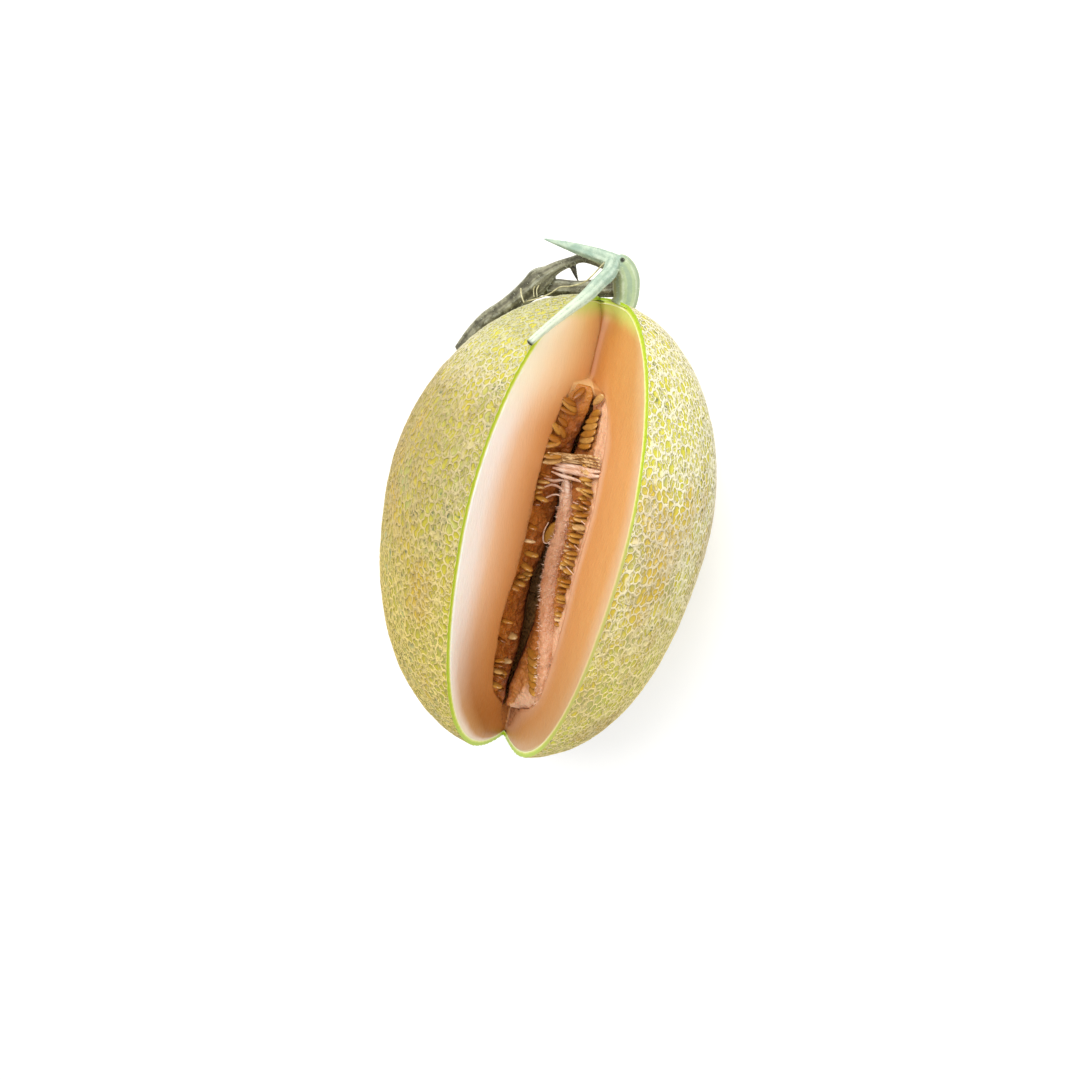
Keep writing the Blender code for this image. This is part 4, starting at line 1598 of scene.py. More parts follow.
@dataclass
class Flesh:
    """The flesh: both cut faces, the seed cavity and the uncut strip at the stem end."""

    form: MelonForm
    wedge: WedgeCut
    cavity: SeedCavity
    finish: Material
    rind: float = 0.00246
    stations: int = 230
    face_steps: int = 54
    floor_steps: int = 48
    outer_steps: int = 40
    ripple: float = 0.00012
    lip: float = 0.0018
    blend: float = 0.007
    closing: float = 0.009
    tuck: float = 0.0018
    tuck_start: float = 0.086
    tuck_fade: float = 0.010
    underside: float = 0.0015
    least_width: float = 0.006
    lip_fade: float = 0.008
    strip_span: tuple[float, float] = (0.060, 0.064)
    ripple_pitch: float = 0.006
    soft_bend: tuple[tuple[float, float], ...] = ((0.056, 0.50), (0.064, 0.50), (0.080, 0.35))
    kerf_span: tuple[tuple[float, float], ...] = (
        (0.052, 0.0), (0.058, 1.0), (0.084, 1.0), (0.092, 0.0))

    def build(self) -> None:
        """Make the flesh as one closed body."""
        profile = self.form.inset_profile(self.rind)
        ends = (profile[0][0] + 0.0002, profile[0][-1] - 0.0002)
        tilt = np.linspace(-0.5 * math.pi, 0.5 * math.pi, self.stations)
        middle = 0.5 * (ends[0] + ends[1])
        along = middle + 0.5 * (ends[1] - ends[0]) * np.sin(tilt)
        radius = np.interp(along, *profile)
        loops = []
        marks = []
        for place, reach in zip(along, radius):
            loop, mark = self.section(place, reach)
            loops.append(loop)
            marks.append(mark)
        item = loft("flesh_body", np.array(loops))
        table = self.even_depth(along, np.array(loops), np.array(marks))
        for index, name in enumerate(("from_rind", "right", "across", "on_strip")):
            store(item.data, name, np.append(table[:, index], (table[0, index], table[-1, index])))
        item.data.materials.append(self.finish)
        places = places_of(item.data)
        places[:, 2] = np.maximum(places[:, 2], self.underside)
        places[:, 1] += self.tuck * np.clip((places[:, 1] - self.tuck_start) / self.tuck_fade,
                                            0.0, 1.0)
        set_places(item.data, places)
        finish_piece(item, ["flesh"])

    def even_depth(self, along: Array, loops: Array, marks: Array) -> Array:
        """Measure depth below the rind against the face's width, smoothed along the melon.

        Args:
            along: Place of each section.
            loops: Points of each section.
            marks: Colour values of each section's points.

        Returns:
            The colour values, one row a point.
        """
        spread = np.exp(-0.5 * ((along[:, None] - along[None]) / self.blend) ** 2)
        second = self.face_steps + self.floor_steps
        for start, end in ((0, self.face_steps), (second, second + self.face_steps)):
            width = np.linalg.norm(loops[:, start] - loops[:, end - 1], axis=1)
            smooth = np.maximum(spread @ width / spread.sum(axis=1), self.least_width)
            depth = marks[:, start:end, 0] * (width / smooth)[:, None]
            marks[:, start:end, 0] = np.minimum(depth, 1.0)
        return marks.reshape(-1, marks.shape[2])

    def corners(self, along: float, reach: float) -> tuple[Array, Array]:
        """Return where the outer circle of a section meets the cut, on the left and the right.

        Args:
            along: Place of the section.
            reach: Radius of its outer circle.

        Returns:
            The left and the right point.
        """
        turns = np.linspace(-0.5 * math.pi, 1.5 * math.pi, 721)
        depth = self.wedge.inside(self.ring(along, reach, turns))
        cut = np.nonzero(depth > 0.0)[0]
        if len(cut) == 0:
            best = turns[int(np.argmax(depth))]
            point = self.ring(along, reach, np.array([best]))[0]
            return point, point
        edges = []
        for inner, outer in ((cut[-1], cut[-1] + 1), (cut[0], cut[0] - 1)):
            low, high = turns[inner], turns[min(max(outer, 0), 720)]
            for _ in range(18):
                half = 0.5 * (low + high)
                if self.wedge.inside(self.ring(along, reach, np.array([half])))[0] > 0.0:
                    low = half
                else:
                    high = half
            edges.append(self.ring(along, reach, np.array([high]))[0])
        return edges[0], edges[1]

    def ring(self, along: float, reach: float, turns: Array) -> Array:
        """Return points of the outer circle of a section."""
        bend = float(self.form.bend_at(np.array([along]))[0])
        return arc((bend, along, self.form.axis_height), reach, turns)

    def section(self, along: float, reach: float) -> tuple[Array, Array]:
        """Return one section's loop of points, and the colour values stored on them.

        Args:
            along: Place of the section.
            reach: Radius of its outer circle.

        Returns:
            The points and their values, one row a point.
        """
        station = np.array([along])
        outer = self.corners(along, reach)
        inner = []
        in_cavity = self.cavity.start() < along < self.cavity.end()
        centre = self.ring(along, 0.0, np.zeros(1))[0]
        for side, edge in zip(Side, outer):
            up = self.wedge.stop(side, station)
            if in_cavity:
                up = np.maximum(up, self.cavity.rim(side, station))
            point = self.wedge.on_face(side, station, up)[0]
            inside = np.linalg.norm(point - centre) < reach
            inner.append(point if inside else edge)
        steps = np.linspace(0.0, 1.0, self.face_steps)
        shares = 1.0 - (1.0 - steps) ** 1.5
        left = outer[0] + shares[:, None] * (inner[0] - outer[0])
        right = outer[1] + shares[::-1, None] * (inner[1] - outer[1])
        first, last = self.cavity.start(), self.cavity.end()
        lip = self.lip * float(np.interp(
            along, (first, first + self.lip_fade, last - self.lip_fade, last),
            (0.0, 1.0, 1.0, 0.0)))
        left = self.round_lip(left, inner[0], Side.LEFT, lip)
        right = self.round_lip(right, inner[1], Side.RIGHT, lip)
        floor = self.floor(along, left[-1], right[0], in_cavity)
        start = math.atan2(outer[1][2] - centre[2], outer[1][0] - centre[0])
        end = math.atan2(outer[0][2] - centre[2], outer[0][0] - centre[0])
        if start - end <= 0.0:
            start += 2.0 * math.pi
        turns = np.linspace(start, end, self.outer_steps + 2)[1:-1]
        back = self.ring(along, reach, turns)
        ripples = wave(np.concatenate((left, right)), self.ripple_pitch, 5) * self.ripple
        left = left + np.outer(ripples[:len(left)], self.wedge.out(Side.LEFT))
        right = right + np.outer(ripples[len(left):], self.wedge.out(Side.RIGHT))
        loop = np.concatenate((left, floor, right, back))
        on_strip = float(np.interp(along, self.strip_span, (0.0, 1.0)))
        marks = np.zeros((len(loop), 4))
        first = self.face_steps
        second = first + self.floor_steps
        third = second + self.face_steps
        marks[:first, 0] = shares
        marks[first:second, 0] = 1.0
        marks[second:third, 0] = shares[::-1]
        marks[second - self.floor_steps // 2:third, 1] = 1.0
        marks[first:second, 2] = np.linspace(0.0, 1.0, self.floor_steps)
        marks[second:third, 2] = 1.0
        marks[first:second, 3] = on_strip
        return loop, marks

    def round_lip(self, face: Array, corner: Array, side: Side, lip: float) -> Array:
        """Round the edge where a cut face turns down into the cavity.

        Args:
            face: Points of the cut face.
            corner: Where the face ends.
            side: Which face.
            lip: Radius of the rounding.

        Returns:
            The points, rounded.
        """
        if lip <= 0.0:
            return face
        near = np.clip(1.0 - np.linalg.norm(face - corner, axis=1) / (1.6 * lip), 0.0, 1.0)
        drop = lip * (1.0 - np.sqrt(1.0 - near ** 2))
        return face - np.outer(drop, self.wedge.out(side))

    def floor(self, along: float, left: Array, right: Array, in_cavity: bool) -> Array:
        """Return the points between the two faces: the cavity's wall, the strip or the kerf.

        Args:
            along: Place of the section.
            left: End of the left face.
            right: End of the right face.
            in_cavity: Whether the cavity is here.

        Returns:
            The points, from left to right.
        """
        shares = np.linspace(0.0, 1.0, self.floor_steps + 2)[1:-1]
        straight = left + shares[:, None] * (right - left)
        chord = right - left
        size = np.linalg.norm(chord)
        foot = self.wedge.line_at(np.array([along]))[0]
        turn = foot + float(read_rows(self.soft_bend, along)) * (right - foot)
        part = shares[:, None]
        valley = (1.0 - part) ** 2 * left + 2.0 * part * (1.0 - part) * turn + part ** 2 * right
        if not in_cavity:
            return straight + float(read_rows(self.kerf_span, along)) * (valley - straight)
        centre, radius = self.cavity.circle(np.array([along]))
        start = math.atan2(left[2] - centre[0][2], left[0] - centre[0][0])
        end = math.atan2(right[2] - centre[0][2], right[0] - centre[0][0])
        while end < start:
            end += 2.0 * math.pi
        turns = start + shares * (end - start)
        bowl = arc((centre[0][0], along, centre[0][2]), radius[0], turns)
        hollow = math.sqrt(min(1.0, (self.cavity.end() - along) / self.closing))
        return valley + hollow * (bowl - valley)


@dataclass
class SeedBed:
    """One side of the seed mass: a bed of pulp with seeds sticking out of it like slices."""

    side: Side
    wedge: WedgeCut
    cavity: SeedCavity
    slit: "SlitCourse"
    ridge: "PulpRidge"
    pulp: Material
    seeds: "SeedPlanter"
    rows: tuple[tuple[float, float, float, float, float], ...]
    band: tuple[tuple[float, float], ...]
    stations: int = 300
    surface_steps: int = 30
    wall_steps: int = 6
    back_steps: int = 12
    margin: float = 0.0012
    rim_gap: float = 0.0004
    sink: float = 0.0016
    recess: float = 0.0012
    drop: float = 0.0026
    drop_fade: float = 0.008
    wall: float = 0.012
    back_gap: float = 0.0003
    lumps: Waves = ((0.0013, 0.0042, 9), (0.0010, 0.0016, 10))
    slice_height: float = 0.0007
    slice_wave: Waves = ((0.6, 0.011, 12),)
    pitch: float = 0.0027
    band_marks: Triple = (0.0, 0.28, 0.9)
    fade_span: tuple[float, float] = (0.042, 0.056)
    fade_marks: tuple[float, float] = (1.0, 0.2)
    row_shift: float = 0.0011
    gaps: Waves = ((0.8, 0.012, 40),)
    place_scatter: float = 0.0005
    share_scatter: float = 0.05
    lean: tuple[float, float] = (80.0, 6.0)
    skew: tuple[float, float] = (6.0, 7.0)
    tilt_scatter: float = 9.0
    sizes: tuple[float, float] = (0.85, 1.10)
    standing: tuple[float, float] = (-0.15, 0.45)
    tones: tuple[float, float] = (0.58, 0.22)
    slit_gap: float = 0.0006
    least_standing: float = 0.0012
    last_share: float = 0.92
    seed: int = 21

    def build(self) -> None:
        """Make the bed and its seeds."""
        along = np.linspace(self.cavity.start() + self.margin, self.cavity.end() - self.margin,
                            self.stations)
        loops = np.array([self.section(place) for place in along])
        name = self.side.name.lower()
        bed = loft(f"seed_bed_{name}", loops)
        # The bed's wall and back take the slit's end of the ramp, which is painted shade.
        below = np.ones(self.wall_steps + self.back_steps)
        shares = np.linspace(0.0, 1.0, self.surface_steps)
        marks = [np.append(np.interp(shares, (0.0, band, 1.0), self.band_marks), below)
                 for band in self.band_at(along)]
        marks = np.array(marks) * np.interp(along, self.fade_span, self.fade_marks)[:, None]
        store(bed.data, "share", np.append(marks.ravel(), (1.0, 0.2)))
        bed.data.materials.append(self.pulp)
        finish_piece(bed, [f"seeds_{name}"])
        self.stand_seeds(name)

    def surface(self, along: Array, share: Array) -> Array:
        """Return points of the bed's surface, from the rim at 0 to the slit at 1.

        Args:
            along: Places along the axis.
            share: Share of the way to the slit.

        Returns:
            The points.
        """
        rim_up = self.cavity.rim(self.side, along) - self.rim_gap
        rim = self.wedge.on_face(self.side, along, rim_up, -self.sink)
        low = self.slit.lip(self.side, along)
        points = rim + share[:, None] * (low - rim)
        band = self.band_at(along)
        part = np.clip((share - band) / (1.0 - band), 0.0, 1.0)
        sag = self.recess * np.sin(math.pi * part ** 0.6)
        near = np.clip((self.cavity.end() - along) / self.drop_fade, 0.0, 1.0)
        sag += self.drop * (1.0 - near) ** 2
        points -= np.outer(sag, self.wedge.out(self.side))
        return points

    def band_at(self, along: Array) -> Array:
        """Return how much of the bed, from the rim, is a smooth pale band without seeds."""
        return read_rows(self.band, along)

    def section(self, along: float) -> Array:
        """Return one section's loop of points.

        Args:
            along: Place of the section.

        Returns:
            The points, one row each.
        """
        shares = np.linspace(0.0, 1.0, self.surface_steps)
        top = self.surface(np.full(self.surface_steps, along), shares)
        slices = abs(math.sin(math.pi * along / self.pitch)) - 0.5
        lumps = waves(top, self.lumps)
        lumps += self.slice_height * slices * (0.6 + waves(top, self.slice_wave))
        band = self.band_at(np.array([along]))[0]
        fade = np.minimum(1.0, 8.0 * shares * (1.0 - shares) + 0.15)
        fade *= np.interp(shares, (0.7 * band, band + 0.05), (0.25, 1.0))
        fade *= np.interp(along, (0.030, 0.046), (1.0, 0.35))
        top = top + np.outer(lumps * fade, self.wedge.out(self.side))
        drop = np.linspace(0.0, 1.0, self.wall_steps + 1)[1:]
        wall = np.tile(top[-1], (self.wall_steps, 1))
        wall[:, 2] -= drop * self.wall
        centre, radius = self.cavity.circle(np.array([along]))
        hold = radius[0] - self.back_gap
        shift = wall[-1] - centre[0]
        far = np.hypot(shift[0], shift[2])
        if far > hold:
            wall[:, 2] = top[-1, 2] - drop * max(0.001, self.wall - (far - hold))
            shift = wall[-1] - centre[0]
        start = math.atan2(shift[2], shift[0])
        rim = top[0] - centre[0]
        end = math.atan2(rim[2], rim[0])
        while self.side is Side.LEFT and end > start:
            end -= 2.0 * math.pi
        while self.side is Side.RIGHT and end < start:
            end += 2.0 * math.pi
        part = np.linspace(0.0, 1.0, self.back_steps + 2)[1:-1]
        reach = np.hypot(shift[0], shift[2]) + part * (np.hypot(rim[0], rim[2])
                                                       - np.hypot(shift[0], shift[2]))
        reach = np.maximum(reach, hold * np.sin(math.pi * part) ** 0.3)
        turns = start + part * (end - start)
        back = arc((centre[0][0], along, centre[0][2]), reach, turns)
        return np.concatenate((top, wall, back))

    def stand_seeds(self, name: str) -> None:
        """Stand rows of seeds in the bed: share, fullness, tilt, and where each starts and ends.

        Args:
            name: Name of the side.
        """
        dice = np.random.default_rng(self.seed + self.side.value)
        table = []
        for row, (share, fullness, tilt, start, end) in enumerate(self.rows):
            for place in np.arange(start + row * self.row_shift, end, self.pitch):
                spot = np.array(((0.05 * self.side.value, place, 0.03 * row),))
                if dice.uniform() < fullness + waves(spot, self.gaps)[0]:
                    table.append((
                        place + dice.uniform(-self.place_scatter, self.place_scatter),
                        share + dice.uniform(-self.share_scatter, self.share_scatter), tilt))
        along, shares, tilts = np.array(table).T
        count = len(along)
        out = self.wedge.out(self.side)
        up = self.wedge.up(self.side)
        lean = np.radians(dice.normal(*self.lean, count))
        skew = np.radians(dice.normal(*self.skew, count))
        axis = np.outer(np.sin(lean), out) + np.outer(np.cos(lean), up)
        axis = axis * np.cos(skew)[:, None] + np.outer(np.sin(skew), (0.0, 1.0, 0.0))
        tilts = np.radians(tilts + dice.normal(0.0, self.tilt_scatter, count))
        flat = np.outer(np.cos(tilts), (0.0, 1.0, 0.0)) + np.outer(np.sin(tilts), up)
        sizes = dice.uniform(*self.sizes, count)
        half = 0.5 * self.seeds.length * sizes
        stand = half * dice.uniform(*self.standing, count)
        points = self.surface(along, shares) + axis * stand[:, None]
        tips = points + axis * half[:, None]
        limit = self.slit.lip(self.side, along)[:, 0] + self.slit_gap * self.side.value
        if self.side is Side.RIGHT:
            limit = np.maximum(limit, self.ridge.edge(along))
        over = np.maximum(0.0, (limit - tips[:, 0]) * self.side.value)
        shift = over / np.maximum(np.abs(axis[:, 0]), 0.3)
        points -= axis * shift[:, None]
        keep = (stand + half - shift > self.least_standing) & (shares < self.last_share)
        tones = np.clip(dice.normal(*self.tones, count), 0.0, 1.0)
        table = np.column_stack((points, axis, flat, sizes, tones))[keep]
        item = self.seeds.plant(f"seeds_standing_{name}", table)
        finish_piece(item, [f"seeds_{name}"])


@dataclass(frozen=True)
class SlitCourse:
    """The dark slit between the two sides of the seed mass."""

    wedge: WedgeCut
    left_gap: float = 0.0006
    waver: Waves = ((0.0005, 0.0035, 51),)
    rows: tuple[Row, ...] = (
        (-0.104, -0.0030, 0.0008, 0.0102), (-0.090, -0.0036, 0.0012, 0.0116),
        (-0.072, -0.0024, 0.0028, 0.0075), (-0.060, -0.0028, 0.0044, 0.0083),
        (-0.048, -0.0040, 0.0056, 0.0083), (-0.036, -0.0040, 0.0050, 0.0078),
        (-0.022, -0.0008, 0.0020, 0.0065), (0.000, 0.0000, 0.0014, 0.0060),
        (0.027, 0.0004, 0.0012, 0.0100), (0.036, 0.0014, 0.0012, 0.0115),
        (0.043, 0.0028, 0.0012, 0.0125), (0.050, 0.0040, 0.0012, 0.0140),
        (0.061, 0.0048, 0.0010, 0.0150))

    def lip(self, side: Side, along: Array) -> Array:
        """Return the slit's edge on one side at places along the axis.

        Args:
            side: Which side of the slit.
            along: Places along the axis.

        Returns:
            The points.
        """
        middle, width, height = (read_rows(self.rows, along, index) for index in (1, 2, 3))
        spots = np.stack((np.zeros(len(along)), along, np.zeros(len(along))), axis=1)
        middle = middle + waves(spots, self.waver)
        across = middle - self.left_gap if side is Side.LEFT else middle + width
        points = self.wedge.line_at(along)
        points[:, 0] += across
        points[:, 2] += height
        return points


@dataclass
class SeedPlanter:
    """Melon seeds, flat and pointed, made once and planted wherever a row of numbers says."""

    finish: Material
    length: float = 0.0108
    width: float = 0.0047
    thickness: float = 0.0018
    sides: int = 8
    rings: tuple[Triple, ...] = (
        (0.07, 0.34, 0.55), (0.25, 0.76, 0.90), (0.52, 1.0, 1.0), (0.78, 0.92, 0.95),
        (0.94, 0.55, 0.60))

    def shape(self) -> Item:
        """Make one seed.

        Returns:
            The seed.
        """
        turns = full_turn(self.sides)
        loops = []
        for place, spread, depth in self.rings:
            loops.append(np.stack((np.cos(turns) * spread * self.width / 2.0,
                                   np.sin(turns) * depth * self.thickness / 2.0,
                                   np.full(self.sides, (place - 0.5) * self.length)), axis=1))
        item = loft("seed_shape", np.array(loops))
        places = places_of(item.data)
        places[-2] = (0.0, 0.0, -0.5 * self.length)
        places[-1] = (0.0, 0.0, 0.5 * self.length)
        set_places(item.data, places)
        return item

    def tree(self) -> GeometryTree:
        """Build the tree that stands a seed on each point, turned by the stored directions.

        Returns:
            The tree.
        """
        steps = GeometryTree("stand_seeds", (("Seed Shape", "NodeSocketObject"),
                                             ("Finish", "NodeSocketMaterial")))
        source = steps.source.outputs
        shape = steps.add("GeometryNodeObjectInfo", Object=source["Seed Shape"])
        turned = steps.add("FunctionNodeAlignRotationToVector", {"axis": "Z"},
                           Vector=steps.read("long_axis", "FLOAT_VECTOR"))
        turned = steps.add("FunctionNodeAlignRotationToVector", {"axis": "Y", "pivot_axis": "Z"},
                           Rotation=turned.outputs[0],
                           Vector=steps.read("flat_axis", "FLOAT_VECTOR"))
        points = steps.add("GeometryNodeMeshToPoints", Mesh=source["Geometry"])
        planted = steps.add("GeometryNodeInstanceOnPoints", Points=points.outputs[0],
                            Instance=shape.outputs["Geometry"], Rotation=turned.outputs[0],
                            Scale=steps.read("size"))
        real = steps.add("GeometryNodeRealizeInstances", Geometry=planted.outputs[0])
        smooth = steps.add("GeometryNodeSetShadeSmooth", Geometry=real.outputs[0])
        steps.end(smooth.outputs[0], source["Finish"])
        return steps

    def plant(self, name: str, table: Array) -> Item:
        """Make one piece of many seeds.

        Args:
            name: Name of the piece.
            table: One seed a row: its middle, its long direction towards the round end, the
                direction that its flat side faces, its scale, and its tone from dark to light.

        Returns:
            The piece.
        """
        item = mesh_object(name, table[:, 0:3], [])
        store(item.data, "long_axis", table[:, 3:6])
        store(item.data, "flat_axis", table[:, 6:9])
        store(item.data, "size", table[:, 9])
        store(item.data, "tone", table[:, 10])
        shape = self.shape()
        self.tree().apply(item, {"Seed Shape": shape, "Finish": self.finish})
        bpy.data.objects.remove(shape)
        return item


@dataclass
class LooseSeeds:
    """Loose seeds by the slit, each with its place in mm, direction, facing, scale and tone."""

    form: MelonForm
    seeds: SeedPlanter
    rows: tuple[tuple[float, ...], ...] = (
        (3.9, -11.6, -0.5, 0.36, 0.92, 0.12, -0.2, 0.3, 0.93, 1.30, 0.60),
        (5.6, 15.6, 0.0, 0.12, 0.90, 0.35, 0.1, -0.3, 0.95, 0.80, 0.75),
        (-4.2, 28.0, 9.0, 0.86, 0.10, -0.50, 0.1, 0.9, 0.4, 0.95, 0.55),
        (-3.6, 25.6, 8.0, 0.84, 0.25, -0.48, 0.1, 0.8, 0.6, 0.95, 0.80),
        (0.6, 56.4, -0.6, 0.50, 0.70, -0.50, -0.3, 0.5, 0.8, 0.75, 0.34),
        (-2.6, 52.4, 1.6, 0.80, -0.30, -0.50, 0.3, 0.8, 0.5, 0.80, 0.40),
        (-2.2, 50.6, 1.9, 0.80, -0.42, -0.42, 0.3, 0.75, 0.6, 0.95, 0.62),
        (-2.4, 48.4, 2.3, 0.86, -0.20, -0.46, 0.2, 0.8, 0.6, 0.90, 0.36),
        (-3.0, 43.2, 4.2, 0.70, -0.50, -0.50, 0.4, 0.5, 0.8, 0.70, 0.30),
        (-5.0, 40.4, 6.6, 0.60, -0.60, -0.48, 0.5, 0.55, 0.7, 0.85, 0.66),
        (-2.2, 38.6, 3.8, 0.50, -0.70, -0.50, 0.6, 0.4, 0.7, 0.80, 0.50),
        (-5.6, 36.0, 8.2, 0.84, -0.30, -0.48, 0.3, 0.75, 0.6, 0.90, 0.38),
        (-5.4, 33.2, 8.8, 0.80, 0.35, -0.48, -0.1, 0.75, 0.6, 0.85, 0.55),
        (9.9, 56.6, 3.0, 0.45, 0.80, 0.40, -0.3, -0.2, 0.93, 0.75, 0.80),
        (10.2, 50.0, 1.8, 0.50, 0.55, 0.62, -0.5, -0.1, 0.8, 0.70, 0.52),
        (9.4, 46.4, 0.6, 0.60, 0.50, 0.60, -0.5, 0.50, 0.7, 0.85, 0.56),
        (9.2, 43.4, 1.0, 0.60, 0.42, 0.64, -0.5, 0.52, 0.7, 0.95, 0.72),
        (9.2, 40.4, 1.8, 0.60, 0.46, 0.62, -0.5, 0.50, 0.7, 1.00, 0.50),
        (9.2, 37.4, 2.4, 0.60, 0.40, 0.66, -0.5, 0.52, 0.7, 0.95, 0.74),
        (9.0, 34.6, 2.8, 0.62, 0.36, 0.68, -0.5, 0.52, 0.7, 0.85, 0.48),
        (9.6, -70.5, 9.8, 0.50, -0.05, 0.86, -0.4, 0.8, 0.4, 0.95, 0.45),
        (10.6, -73.0, 12.6, 0.50, 0.00, 0.86, -0.4, 0.8, 0.4, 0.95, 0.62),
        (11.6, -75.4, 15.4, 0.50, 0.05, 0.86, -0.4, 0.8, 0.4, 1.00, 0.50),
        (12.8, -77.8, 18.4, 0.50, 0.08, 0.86, -0.4, 0.8, 0.4, 1.00, 0.66),
        (13.8, -80.2, 21.0, 0.50, 0.10, 0.86, -0.4, 0.8, 0.4, 0.95, 0.52),
        (14.8, -82.6, 23.6, 0.50, 0.12, 0.86, -0.4, 0.8, 0.4, 0.90, 0.70))

    def build(self) -> None:
        """Make the loose seeds."""
        table = np.array(self.rows)
        table[:, :3] *= MILLIMETRE
        table[:, 2] += self.form.axis_height
        item = self.seeds.plant("seeds_loose", table)
        finish_piece(item, ["seeds_right"])


@dataclass
class PulpRidge:
    """The pale ridge of pulp that lies along the right side of the slit."""

    wedge: WedgeCut
    finish: Material
    sides: int = 40
    steps: int = 20
    lumps: Waves = ((0.0008, 0.0042, 15), (0.00045, 0.0017, 16))
    rows: tuple[Row, ...] = (
        (4.6, 20.5, -3.0, 0.9), (5.6, 16.5, -3.0, 2.5), (6.6, 10.0, -1.5, 3.3),
        (8.0, 3.5, 1.0, 3.6), (8.6, -4.0, 2.2, 3.7), (8.9, -13.0, 3.5, 3.9),
        (8.8, -23.0, 3.6, 4.3), (9.8, -33.0, 5.5, 4.7), (11.6, -42.0, 9.5, 5.0),
        (13.6, -50.0, 14.5, 5.0), (15.6, -58.0, 20.0, 4.6), (17.2, -67.0, 24.5, 3.9),
        (18.2, -76.0, 26.5, 3.1), (18.0, -85.0, 25.5, 2.1), (17.4, -91.0, 24.5, 0.9))
    body: Item | None = None

    def edge(self, along: Array) -> Array:
        """Return how far to the right seeds of the right bank must stay, beside the ridge.

        Args:
            along: Places along the axis.

        Returns:
            Places across the melon.
        """
        table = np.array(self.rows)[::-1] * MILLIMETRE
        side = table[:, 0] + 0.7 * table[:, 3]
        return np.interp(along, table[:, 1], side, left=-0.05, right=-0.05)

    def build(self) -> None:
        """Make the ridge as one closed body."""
        course = smooth_course(self.rows, self.steps) * MILLIMETRE
        centres = course[:, :3].copy()
        centres[:, 2] += self.wedge.form.axis_height
        turns = full_turn(self.sides)
        loops = []
        for centre, radius in zip(centres, course[:, 3]):
            spokes = np.stack((np.cos(turns), np.zeros(self.sides), np.sin(turns)), axis=1)
            points = centre + spokes * radius
            loops.append(points + spokes * waves(points, self.lumps)[:, None])
        item = loft("pulp_ridge", np.array(loops))
        shares = np.repeat(np.linspace(0.0, 1.0, len(loops)), self.sides)
        store(item.data, "share", np.append(shares, (0.0, 1.0)))
        item.data.materials.append(self.finish)
        finish_piece(item, ["placenta"])
        self.body = item


